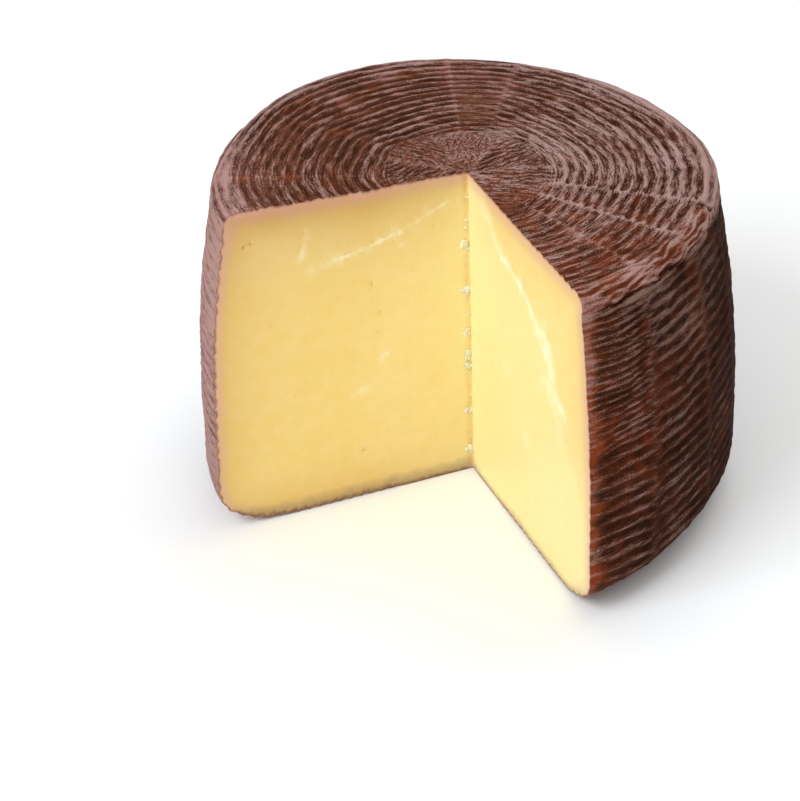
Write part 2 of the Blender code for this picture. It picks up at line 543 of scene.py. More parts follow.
    def base(self, place: RindPlace) -> Array:
        """Groove depth of the rings that the basket's floor left, between the flat's edge and the foot.

        Args:
            place: Where on the rind.

        Returns:
            0 on the ridges and about 1 in the grooves.
        """
        rings = self.grooves((place.distance - 0.030) / self.ring_pitch, place, 0.9, self.base_reeds)
        under = smooth_step(0.026, 0.034, place.distance)
        return rings * under * smooth_step(self.foot, self.foot - 0.003, place.distance)

    def seam(self, place: RindPlace, width: float, stakes: Stops) -> Array:
        """How much of a stake's seam there is: most on its line, none a few widths away."""
        return np.max([hold * np.exp(-((place.beyond(at) / width) ** 2)) for at, hold in stakes], axis=0)

    def calm_bay(self, place: RindPlace) -> Array:
        """The bay at the back of the top where the rings are rubbed faint, from 0 to 1."""
        calm = smooth_step(55.0, 58.0, place.azimuth) * smooth_step(73.0, 69.0, place.azimuth)
        return calm * smooth_step(0.034, 0.042, place.radius) * smooth_step(0.068, 0.058, place.radius)


@dataclass
class CentreKnot:
    """The middle of the top, where bundles of strands cross.

    A bundle is (from azimuth, to azimuth, direction, depth). The first starts and the last ends at the cut.
    """

    pitch: float = 0.00265
    bundles: tuple = (
        (-90.0, -47.8, -32.8, 0.9), (-47.8, -14.8, -22.8, 0.95), (-14.8, 45.2, 15.2, 0.95),
        (45.2, 95.2, 52.2, 0.34), (95.2, 142.2, 127.2, 0.7), (142.2, 180.0, 19.2, 0.95),
    )
    bend: Waver = Waver(31, 7.0, 0.010, 0.010)
    waves: tuple = (Waver(32, 0.30, 0.008, 0.008), Waver(33, 0.16, 0.003, 0.003))
    rubbing: Waver = Waver(34, 0.34, 0.005, 0.005)
    stray: Waver = Waver(35, 0.0011, 0.006, 0.006)

    def plan(self, place: RindPlace) -> tuple[Array, Array]:
        """Places seen from above, in metres from the axis."""
        angle = np.radians(place.azimuth)
        return place.radius * np.cos(angle), place.radius * np.sin(angle)

    def grooves(self, place: RindPlace) -> Array:
        """Depth of the grooves between the strands, as a share of the full depth.

        Args:
            place: Where on the rind.

        Returns:
            0 on the strands and up to 1 between them.
        """
        x, y = self.plan(place)
        bent = place.azimuth + self.bend.at(x, y)
        wave = sum(layer.at(x, y) for layer in self.waves)
        first, last = self.bundles[0][0], self.bundles[-1][1]
        depth = np.zeros_like(x)
        for low, high, direction, share in self.bundles:
            turn = math.radians(direction)
            across = y * math.cos(turn) - x * math.sin(turn) + self.stray.at(x, y)
            trough = (0.5 - 0.5 * np.cos(TURN * (across / self.pitch + wave))) ** 0.8
            inner = np.minimum(bent - low if low > first else np.inf, high - bent if high < last else np.inf)
            window = smooth_step(0.0, 0.0016, np.radians(inner) * np.maximum(place.radius, 0.002))
            depth = np.maximum(depth, share * np.maximum(trough - (1 - window), 0.0))
        return depth * (0.72 + self.rubbing.at(x, y))

    def strands(self, place: RindPlace) -> tuple[Array, Array]:
        """Metres across and along the strands at each place; a faint bundle's marks are drawn shorter.

        Args:
            place: Where on the rind.

        Returns:
            Metres across and metres along.
        """
        x, y = self.plan(place)
        across, along = np.zeros_like(x), np.zeros_like(x)
        for low, high, direction, share in self.bundles:
            turn = math.radians(direction)
            own = (place.azimuth >= low) & (place.azimuth <= high)
            across = np.where(own, y * math.cos(turn) - x * math.sin(turn), across)
            along = np.where(own, (5.6 - 4.3 * share) * (x * math.cos(turn) + y * math.sin(turn)), along)
        return across, along


@dataclass
class RolledLip:
    """The lip that rolls over the side near the cut: its folds, its small lumps and the crevice under it.

    Its band is the way across it, from 0 at the neck to 1 where the rings start.
    """

    basket: BasketPrint
    swell: float = 0.0005
    lump_height: float = 0.0009
    fold_depth: float = 0.00045
    fold_count: float = 4.6
    crevice_depth: float = 0.0015
    crevice_band: float = 0.1
    tuck_azimuth: float = -37.8
    rolled: Stops = ((-90, 1.0), (-42, 1.0), (-36, 0.0), (180, 0.0))
    crevice_share: Stops = ((-90, 1.0), (-60, 1.0), (-46, 0.6), (-36, 0.4), (180, 0.5))

    def crevice(self, place: RindPlace, band: Array, ripple: Array, mended: Array) -> Array:
        """Depth of the ragged crevice.

        Args:
            place: Where on the rind.
            band: The way across the lip.
            ripple: The lip's slow waves.
            mended: 0 beside the cut, where the knife has closed the crevice, and 1 away from it.

        Returns:
            0 outside the crevice and about 1 in the deepest of it.
        """
        arc = place.arc
        bitten = 0.08 * ripple + Waver(60, 0.12, 0.010, 1.0).at(arc, arc)
        bitten = bitten + Waver(56, 0.06, 0.0026, 0.009).at(arc, place.distance)
        depth = np.exp(-(((band - self.crevice_band - bitten) / 0.075) ** 2))
        depth = depth * (0.25 + 0.75 * round_trip(place.azimuth, self.rolled)) * (0.25 + 0.75 * mended)
        depth = depth * (0.8 + Waver(57, 0.5, 0.006, 1.0).at(arc, arc))
        return depth * round_trip(place.azimuth, self.crevice_share)

    def relief(self, place: RindPlace) -> tuple[Array, Array]:
        """Shape the lip.

        Args:
            place: Where on the rind.

        Returns:
            Metres outward, and how much lower than a ridge the place looks, from 0 to about 1.
        """
        basket, arc = self.basket, place.arc
        rolled = round_trip(place.azimuth, self.rolled)
        band = (place.distance - basket.neck) / (basket.lip - basket.neck)
        on_lip = smooth_step(0.02, 0.22, band) * smooth_step(1.02, 0.85, band)
        ripple = Waver(51, 1.0, 0.009, 0.012).at(arc, place.distance)
        mended = smooth_step(0.001, 0.009, arc)
        crevice = self.crevice(place, band, ripple, mended)
        layers = band * self.fold_count + Waver(50, 1.0, 0.012, 1.0).at(arc, band)
        layers = layers + Waver(58, 0.30, 0.0045, 1 / 3).at(arc, band)
        folds = (0.5 - 0.5 * np.cos(TURN * layers)) ** 0.7 * rolled * on_lip
        folds = folds * np.clip(0.85 + Waver(73, 0.7, 0.006, 0.25).at(arc, band), 0.2, 1.3)
        lumps = np.maximum(Waver(59, 1.0, 0.0022, 0.0024).at(arc, place.distance), 0.0)
        lumps = lumps * np.exp(-(((band - 0.16) / 0.2) ** 2)) * mended * rolled
        tuck = 0.5 * np.exp(-((place.beyond(self.tuck_azimuth) / 0.0009) ** 2)) * on_lip
        outward = on_lip * self.swell * (1 + ripple) * (0.3 + 0.7 * rolled)
        outward = outward + self.lump_height * lumps - self.fold_depth * folds
        outward = outward - basket.reed_depth * tuck - self.crevice_depth * crevice
        return outward, crevice + 0.8 * folds + tuck - 0.35 * lumps


@dataclass
class RindTints:
    """How much bloom with painted highlight, rust, blush and painted side shade the rind has at each place,
    for its finish.

    A flush is (azimuth, radius, length, width) of a pink patch, and a bar is (azimuth, radius, half its
    angle) of a pale stroke along one ring.
    """

    basket: BasketPrint
    place: RindPlace
    ridge: Array
    # Bloom tables: the pale on the ridges is partly real bloom and partly painted highlight, the rind's
    # sheen
    top_bloom_sheen: Stops = (
        (-90, 0.66), (-76, 0.62), (-60, 0.65), (-30, 0.8), (30, 0.83), (50, 0.78), (70, 0.68), (105, 0.64),
        (125, 0.5), (180, 0.48),
    )
    middle_bloom_sheen: Stops = (
        (-90, 0.38), (-60, 0.56), (0, 0.62), (30, 0.52), (58, 0.32), (120, 0.28), (180, 0.3),
    )
    rim_bloom_sheen: Stops = (
        (-90, 0), (-66, 0.02), (-57, 0.19), (-40, 0.19), (-30, 0.02), (20, 0), (50, 0.06), (70, 0.17),
        (100, 0.13), (130, 0.06), (150, 0.52), (180, 0.52),
    )
    lip_bloom_sheen: Stops = (
        (-90, 0.8), (-50, 0.9), (-42, 1.25), (-30, 1.35), (0, 1.25), (60, 1.1), (140, 1.0), (165, 1.15),
        (180, 1.15),
    )
    side_bloom_sheen: Stops = (
        (-90, 0.45), (-78, 0.74), (-55, 0.76), (-44, 0.7), (-30, 0.62), (90, 0.64), (150, 0.97),
        (163, 1.32), (180, 1.40),
    )
    upper_bloom_sheen: Stops = ((-90, 0.16), (-68, 0.18), (-58, 0.1), (-30, 0.04), (180, 0.0))
    seam_bloom_sheen: Stops = ((-90, 0.3), (-45, 0.3), (-20, 0.12), (0, 0.0), (180, 0.0))
    lip_rust: Stops = ((-90, 0.30), (-45, 0.28), (-36, 0.12), (180, 0.05))
    top_rust: Stops = ((-90, 0.25), (-80, 0.20), (-64, 0.20), (-48, 0.14), (-36, 0.05), (180, 0.07))
    # Painted shade: a darkening wash over the side, strongest where it turns away from the key light, none
    # on the lit left
    side_shade_share: Stops = (
        (-90, 0.25), (-75, 0.42), (-50, 0.7), (-30, 0.92), (120, 0.85), (150, 0.3), (165, 0.0), (180, 0.0),
    )
    side_grain: Stops = ((-90, 0.46), (-70, 0.4), (130, 0.42), (160, 0.6), (180, 0.65))
    top_grain: Stops = (
        (-90, 0.74), (-20, 0.78), (30, 0.72), (60, 0.5), (110, 0.46), (150, 0.62), (180, 0.7),
    )
    left_blush: Stops = ((-90, 0.0), (140, 0.0), (162, 0.6), (180, 0.6))
    red_seam: float = 164.0
    flushes: tuple = (
        (54.0, 0.066, 0.016, 0.0034), (62.0, 0.076, 0.006, 0.0070), (71.5, 0.074, 0.014, 0.0046),
        (90.0, 0.074, 0.013, 0.0040), (109.0, 0.070, 0.012, 0.0030),
    )
    bars: tuple = ((-11.5, 0.0778, 8.5), (-10.0, 0.0732, 6.0), (-29.5, 0.0803, 4.5), (-33.0, 0.0860, 5.0))

    def __post_init__(self) -> None:
        """Tell side, lip, top and its middle apart, with the stained strip beside the cut."""
        basket, place = self.basket, self.place
        arc, radius, height = place.arc, place.radius, place.height
        self.top = smooth_step(basket.lip - 0.002, basket.lip + 0.002, place.distance)
        lip = smooth_step(basket.neck + 0.001, basket.neck + 0.004, place.distance)
        self.lip = lip * (1 - self.top)
        self.side = 1 - self.top - self.lip
        middle = smooth_step(0.036, 0.024, radius + Waver(65, 0.004, 0.008, 0.008).at(arc, radius))
        self.middle = middle * self.top
        seam = basket.seam(place, 0.0050, basket.side_stakes)
        self.side_seam = seam * self.side * smooth_step(0.030, 0.060, height)
        strip = 0.0030 + Waver(68, 0.0014, 0.006, 1.0).at(height, arc)
        strip = strip + Waver(69, 0.0013, 0.0016, 1.0).at(height, arc)
        self.beside_cut = self.side * np.exp(-((arc / strip) ** 2.4))
        bare = np.exp(-(((place.azimuth + 41.5) / 2.6) ** 2) - ((radius - 0.0890) / 0.0042) ** 2)
        self.bare = bare * (height > 0.1)

    def stop(self, stops: Stops) -> Array:
        """Read a table of stops at the rind's azimuths."""
        return round_trip(self.place.azimuth, stops)

    def bloom(self) -> Array:
        """Pale mauve bloom, partly painted highlight: on the ridges everywhere, most on the lip and on the
        left of the side.

        Returns:
            The amount at each place, with 1 for a full cover.
        """
        basket, place, top = self.basket, self.place, self.top
        rim = smooth_step(0.072, 0.088, place.radius) * self.stop(self.rim_bloom_sheen)
        bloom = top * ((1 - self.middle) * self.stop(self.top_bloom_sheen) + rim)
        bloom = bloom + self.stop(self.middle_bloom_sheen) * self.middle + self.lip * self.stop(self.lip_bloom_sheen)
        upper = smooth_step(0.070, 0.100, place.height) * self.stop(self.upper_bloom_sheen)
        bloom = bloom + self.side * (self.stop(self.side_bloom_sheen) + upper) + 0.1 * self.side_seam
        bloom = bloom + basket.seam(place, 0.0014, basket.top_stakes) * top * self.stop(self.seam_bloom_sheen)
        bloom = bloom + Waver(62, 0.22, 0.012, 0.012).at(place.arc, place.distance)
        bloom = bloom + top * Waver(70, 0.2, 0.0042, 0.018).at(place.distance, place.arc)
        bloom = bloom - 0.25 * top * basket.calm_bay(place)
        for azimuth, radius, angle in self.bars:
            gap = np.abs((place.azimuth - azimuth) / angle) ** 4 + ((place.radius - radius) / 0.0018) ** 2
            bloom = bloom + 0.5 * top * self.ridge * np.exp(-gap)
        return bloom + self.beside_cut * (0.66 * self.ridge - 0.16) - 0.5 * self.bare

    def rust(self) -> Array:
        """Rust: strong beside the right cut face, faint elsewhere, and along one seam of the top.

        Returns:
            The amount at each place, with 1 for a full cover.
        """
        place, arc, height = self.place, self.place.arc, self.place.height
        rust = self.beside_cut * (1.0 + Waver(63, 0.75, 0.008, 0.013).at(arc, height))
        rust = rust * (1.25 - 0.5 * self.ridge)
        cloudy = Waver(64, 0.12, 0.02, 0.02).at(arc, height)
        rust = rust + self.side * (0.11 + cloudy + 0.12 * self.side_seam)
        rust = rust + self.lip * self.stop(self.lip_rust) + self.top * self.stop(self.top_rust)
        line = np.exp(-((place.beyond(self.red_seam) / 0.0024) ** 2))
        line = line * smooth_step(0.048, 0.060, place.radius)
        return rust + 0.18 * self.top * line + 0.1 * self.bare

    def blush(self) -> Array:
        """Pink of the must: patches at the back of the top, all over the left, and spots beside the cut.

        Returns:
            The amount at each place, with 1 for a full cover.
        """
        place, blush = self.place, np.zeros_like(self.ridge)
        for azimuth, radius, length, width in self.flushes:
            gap = np.hypot(place.beyond(azimuth) / width, (place.radius - radius) / length)
            blush = blush + (self.top + self.lip) * np.exp(-(gap**2))
        scallops = (0.5 + 0.5 * np.cos(TURN * self.basket.ring_phase(place))) ** 1.4
        blush = blush * (0.2 + 1.1 * scallops)
        rim = 0.6 * self.top * smooth_step(0.066, 0.084, place.radius)
        blush = blush + self.stop(self.left_blush) * (self.side + self.lip + rim)
        spots = smooth_step(0.1, 0.6, Waver(66, 1.0, 0.004, 0.011).at(place.arc, place.height))
        return np.clip(blush, 0, 1) * self.ridge + 0.55 * spots * self.beside_cut * self.ridge

    def values(self) -> dict[str, Array]:
        """The values that the rind's finish reads, by name.

        Returns:
            One array for each name in RIND_VALUES.
        """
        top_grain = self.stop(self.top_grain) * (1 - self.middle) + 0.9 * self.middle
        # Painted shade over the side, with a slow waver
        wine = self.side * self.stop(self.side_shade_share)
        wine = wine + Waver(67, 0.15, 0.02, 0.03).at(self.place.arc, self.place.height)
        return {
            "ridge": self.ridge,
            "bloom": np.clip(self.bloom(), 0, 1.8),
            "rust": np.clip(self.rust(), 0, 1),
            "blush": self.blush(),
            "wine": np.clip(wine, 0, 1) * self.side,
            "grainy": self.stop(self.side_grain) * self.side + 0.5 * self.lip + self.top * top_grain,
        }


@dataclass(frozen=True)
class KnifeMark:
    """A tear or scratch on a cut face: points in millimetres out from the axis and up, width and depth."""

    path: tuple
    width: float
    depth: float
    paleness: float


@dataclass(frozen=True)
class Pit:
    """A small hole in a cut face: its place in millimetres out from the axis and up, size and darkness,
    which is painted shade in the hole and also sets its depth.
    """

    out: float
    up: float
    size: float
    shade: float


MARKS = {
    CutFace.LEFT: (
        KnifeMark(((60.5, 103.0), (52, 105.4), (45, 106.0), (36.8, 108.2), (27, 110.9)), 1.9, 0.22, 0.62),
        KnifeMark(((27, 110.9), (18.6, 114.6), (8, 119)), 1.3, 0.2, 0.5),
        KnifeMark(((62.6, 120.3), (63.6, 115.5), (65.4, 108.5)), 1.7, 0.15, 0.34),
        KnifeMark(((25, 106.2), (27.5, 105.2)), 0.9, 0.25, 0.5),
        KnifeMark(((34.0, 60.6), (35.6, 60.0)), 1.0, 0.3, 0.6),
        KnifeMark(((42.0, 48.3), (46.5, 46.8)), 1.4, 0.25, 0.5),
    ),
    CutFace.RIGHT: (
        KnifeMark(((14, 120), (19.1, 117.8), (23.1, 113.2), (29.2, 109.7)), 3.4, 0.15, 0.4),
        KnifeMark(((29.2, 109.7), (41.5, 107.6), (51.5, 104.4), (60.3, 96.2)), 2.8, 0.3, 0.9),
        KnifeMark(((60.3, 96.0), (66.3, 96.6), (70.4, 92.0)), 5.0, 0.4, 1.1),
        KnifeMark(((67.5, 90.5), (71.8, 86.5), (73.5, 81.0)), 5.0, 0.35, 0.9),
        KnifeMark(((69.5, 78.5), (75.0, 76.6), (79.5, 74.5)), 6.0, 0.4, 1.1),
        KnifeMark(((79.0, 73.0), (79.9, 64.0)), 3.4, 0.2, 0.5),
        KnifeMark(((33.0, 67.5), (34.5, 63.5)), 3.4, 0.1, 0.28),
        KnifeMark(((47.6, 47.0), (50.6, 42.5)), 3.8, 0.12, 0.34),
    ),
}

PITS = {
    CutFace.LEFT: (
        Pit(86.2, 118.8, 0.55, 1.0), Pit(83.7, 119.6, 0.5, 1.0), Pit(38.5, 92.4, 0.5, 0.7),
        Pit(38.4, 91.4, 0.4, 0.7), Pit(35.8, 79.3, 0.6, 0.45), Pit(36.9, 71.0, 0.5, 0.4),
        Pit(44.4, 20.6, 0.6, 0.7), Pit(43.6, 21.4, 0.45, 0.6), Pit(13.5, 110.0, 0.5, 0.35),
        Pit(34.4, 27.5, 0.35, 0.4), Pit(70.0, 52.0, 0.45, 0.35), Pit(78.0, 84.0, 0.4, 0.35),
    ),
    CutFace.RIGHT: (),
}


def new_material(name: str) -> tuple[bpy.types.Material, bpy.types.NodeTree, bpy.types.Node]:
    """Start a material.

    Args:
        name: What the real material is.

    Returns:
        The material, its node tree and its shader.
    """
    material = bpy.data.materials.new(name)
    material.use_nodes = True
    return material, material.node_tree, material.node_tree.nodes["Principled BSDF"]


@dataclass(frozen=True)
class WineRind:
    """Rind of a cheese aged in wine and grape skins.

    The basket pressed it, then wine and must dyed it and it dried: dark burgundy brown in the grooves,
    and a thin pale mauve bloom that has caught on the ridges and on the highest grains of the skin, so
    that the pale lines break up into fine specks and short strokes. The pale on the ridges also stands
    for the rind's sheen: it is partly real bloom and partly painted highlight.

    Real grains of bloom and the fibres that the reeds left are about 0.2 mm. They are drawn 0.45 and
    0.75 mm wide, as coarse as they need to be to show.
    """

    groove: str = "#351A0E"
    body: str = "#573120"
    crest: str = "#7C503F"
    # Pale mauve: real bloom, and painted highlight on the ridges
    bloom: str = "#B5938C"
    rust: str = "#96421E"
    blush: str = "#BC8078"
    # Multiplied over the side as painted shade
    wine: str = "#958862"
    speck_mm: float = 0.45
    blotch_mm: float = 7.0
    grain_mm: float = 0.45
    fibre_mm: float = 0.75
    fibre_run_mm: float = 6.0
    skin_depth: float = 0.00032
    roughness: float = 0.62
    ior: float = 1.45
    dustiness: float = 0.03

    def material(self) -> bpy.types.Material:
        """Build the material: dye by the height in the print, then rust, bloom with painted highlight, blush
        and a wash of painted shade over the side.

        Returns:
            The finished material.
        """
        material, tree, shader = new_material("wine_aged_rind")
        place = add_node(tree, "ShaderNodeTexCoord").outputs["Object"]
        ridge, bloom, rust, blush, wine, grainy = (
            add_node(tree, "ShaderNodeAttribute", attribute_name=name).outputs["Fac"] for name in RIND_VALUES
        )
        weave = add_node(tree, "ShaderNodeAttribute", attribute_name="weave").outputs["Vector"]
        fibres = {0: weave, 1: (1 / self.fibre_mm, 1 / self.fibre_run_mm, 1.0)}
        drawn = add_node(tree, "ShaderNodeVectorMath", fibres, operation="MULTIPLY").outputs[0]
        speck, blotch, grain, streak = (
            add_node(
                tree,
                "ShaderNodeTexNoise",
                {"Vector": source, "Scale": scale, "Detail": detail, "Roughness": 0.62},
            ).outputs["Fac"]
            for source, scale, detail in (
                (place, 1 / (self.speck_mm * MM), 3.0),
                (place, 1 / (self.blotch_mm * MM), 4.0),
                (place, 1 / (self.grain_mm * MM), 2.0),
                (drawn, 1.0, 2.0),
            )
        )
        mixed = add_node(tree, "ShaderNodeMath", {0: speck, 1: streak}, operation="ADD").outputs[0]
        spread = {"Value": mixed, "From Min": 0.72, "From Max": 1.28, "To Min": -1.0, "To Max": 1.0}
        broken = add_node(tree, "ShaderNodeMapRange", spread).outputs["Result"]
        lifted = {0: broken, 1: grainy, 2: ridge}
        raised = add_node(tree, "ShaderNodeMath", lifted, operation="MULTIPLY_ADD").outputs[0]
        ramp = add_node(tree, "ShaderNodeValToRGB", {"Fac": raised})
        stops = ramp.color_ramp.elements
        stops[0].position, stops[0].color = 0.1, linear(self.groove)
        stops[1].position, stops[1].color = 1.0, linear(self.crest)
        stops.new(0.55).color = linear(self.body)
        shares = []
        # The second share puts on bloom and painted highlight, most on the ridges
        for pattern, amount, none, full in ((blotch, rust, 0.6, 1.2), (raised, bloom, 1.26, 2.0)):
            total = add_node(tree, "ShaderNodeMath", {0: pattern, 1: amount}, operation="ADD").outputs[0]
            limits = {"Value": total, "From Min": none, "From Max": full, "To Max": 0.9}
            shares.append(add_node(tree, "ShaderNodeMapRange", limits).outputs["Result"])
        rusty, bloom_sheen_share = shares
        flushed = add_node(tree, "ShaderNodeMath", {0: blush, 1: speck}, operation="MULTIPLY").outputs[0]
        colour = ramp.outputs["Color"]
        for share, tint, blend in (
            (rusty, self.rust, "MIX"),
            (bloom_sheen_share, self.bloom, "MIX"),
            (flushed, self.blush, "MIX"),
            # Painted shade over the side
            (wine, self.wine, "MULTIPLY"),
        ):
            layers = {"Factor": share, COLOUR_A: colour, COLOUR_B: linear(tint)}
            mix = add_node(tree, "ShaderNodeMix", layers, data_type="RGBA", blend_type=blend)
            colour = mix.outputs[COLOUR_OUT]
        skin = add_node(tree, "ShaderNodeMath", {0: mixed, 1: grain}, operation="ADD").outputs[0]
        relief = {"Height": skin, "Strength": 0.8, "Distance": self.skin_depth}
        bump = add_node(tree, "ShaderNodeBump", relief).outputs["Normal"]
        tree.links.new(colour, shader.inputs["Base Color"])
        tree.links.new(bump, shader.inputs["Normal"])
        shader.inputs["Roughness"].default_value = self.roughness
        shader.inputs["IOR"].default_value = self.ior
        shader.inputs["Specular IOR Level"].default_value = self.dustiness
        return material


@dataclass(frozen=True)
class CutPaste:
    """Firm paste of sheep and goat milk, cut with a knife.

    Fat makes it softly translucent and satin. It is pale golden yellow, browner towards the rind, where
    it has dried, with a lilac margin of wine that turns dark next to the rind itself. The knife spread
    fresh lemon-pale paste over part of it and left paler, crumbly tears. Near the foot the margin is
    painted shade in grey-brown, and the pits and the inner corner of the left face have painted shade
    in orange-brown.
    """

    heart: str = "#F5E09E"
    deeper: str = "#F1D27D"
    dry: str = "#BF8B34"
    lilac: str = "#D6A397"
    stain: str = "#6A2C1E"
    # Painted shade: the margin turns this grey-brown near the foot, where the paste meets the floor
    shade: str = "#90785A"
    whey: str = "#F7F0B2"
    pale: str = "#FFFBDC"
    # Painted shade: orange-brown in the pits and along the inner corner of the left face
    pit: str = "#D08E3A"
    mottle_mm: float = 5.0
    fine_mm: float = 1.4
    drag_mm: float = 0.9
    drag_depth: float = 0.0002
    mottle_sway_mm: float = 3.0
    fine_sway_mm: float = 1.2
    torn_share: float = 0.86
    roughness: float = 0.42
    ior: float = 1.45
    scatter: float = 0.22
    scatter_depth: float = 0.003
    scatter_spread: tuple = (1.0, 0.6, 0.25)

    def material(self) -> bpy.types.Material:
        """Build the material: paste, its dry and smeared parts, the margin with painted shade near the foot,
        then tears and the painted shade of pits and of the inner corner on top.

        Returns:
            The finished material.
        """
        material, tree, shader = new_material("sheep_goat_paste")
        place = add_node(tree, "ShaderNodeTexCoord").outputs["Object"]
        under, aged, smear, mark, pit, reach, foot, golden = (
            add_node(tree, "ShaderNodeAttribute", attribute_name=name).outputs["Fac"]
            for name in PASTE_VALUES
        )
        mottle, fine = (
            add_node(
                tree, "ShaderNodeTexNoise", {"Vector": place, "Scale": 1 / (size * MM), "Detail": detail}
            ).outputs["Fac"]
            for size, detail in ((self.mottle_mm, 5.0), (self.fine_mm, 3.0))
        )
        sums = {0: mottle, 1: golden}
        depth = add_node(tree, "ShaderNodeMath", sums, operation="ADD", use_clamp=True).outputs[0]
        edges = [under]
        for noise, sway in ((fine, self.fine_sway_mm), (mottle, self.mottle_sway_mm)):
            centred = add_node(tree, "ShaderNodeMath", {0: noise, 1: 0.5}, operation="SUBTRACT").outputs[0]
            moved = {0: centred, 1: sway, 2: edges[-1]}
            edges.append(add_node(tree, "ShaderNodeMath", moved, operation="MULTIPLY_ADD").outputs[0])
        _, wavy, uneven = edges
        shares = []
        for edge, inner, outer, most in ((uneven, 0.3, reach, 0.7), (wavy, 0.1, 1.0, 0.8)):
            limits = {"Value": edge, "From Min": inner, "From Max": outer, "To Min": most, "To Max": 0.0}
            shares.append(add_node(tree, "ShaderNodeMapRange", limits).outputs["Result"])
        tinged, stained = shares
        # Near the foot the margin is painted shade rather than lilac
        tints = {"Factor": foot, COLOUR_A: linear(self.lilac), COLOUR_B: linear(self.shade)}
        margin = add_node(tree, "ShaderNodeMix", tints, data_type="RGBA").outputs[COLOUR_OUT]
        marks = {0: mark, 1: self.torn_share}
        torn = add_node(tree, "ShaderNodeMath", marks, operation="MULTIPLY").outputs[0]
        colour = linear(self.heart)
        for share, tint in (
            (depth, linear(self.deeper)),
            (aged, linear(self.dry)),
            (smear, linear(self.whey)),
            (tinged, margin),
            (stained, linear(self.stain)),
            (torn, linear(self.pale)),
            # Painted shade in the pits and along the inner corner
            (pit, linear(self.pit)),
        ):
            layers = {"Factor": share, COLOUR_A: colour, COLOUR_B: tint}
            colour = add_node(tree, "ShaderNodeMix", layers, data_type="RGBA").outputs[COLOUR_OUT]
        dragged = {"Vector": place, "Scale": 1 / (self.drag_mm * MM), "Detail": 3.0, "Roughness": 0.55}
        drag = add_node(tree, "ShaderNodeTexNoise", dragged).outputs["Fac"]
        relief = {"Height": drag, "Strength": 0.45, "Distance": self.drag_depth}
        bump = add_node(tree, "ShaderNodeBump", relief).outputs["Normal"]
        tree.links.new(colour, shader.inputs["Base Color"])
        tree.links.new(bump, shader.inputs["Normal"])
        shader.inputs["Roughness"].default_value = self.roughness
        shader.inputs["IOR"].default_value = self.ior
        shader.inputs["Subsurface Weight"].default_value = self.scatter
        shader.inputs["Subsurface Radius"].default_value = self.scatter_spread
        shader.inputs["Subsurface Scale"].default_value = self.scatter_depth
        return material


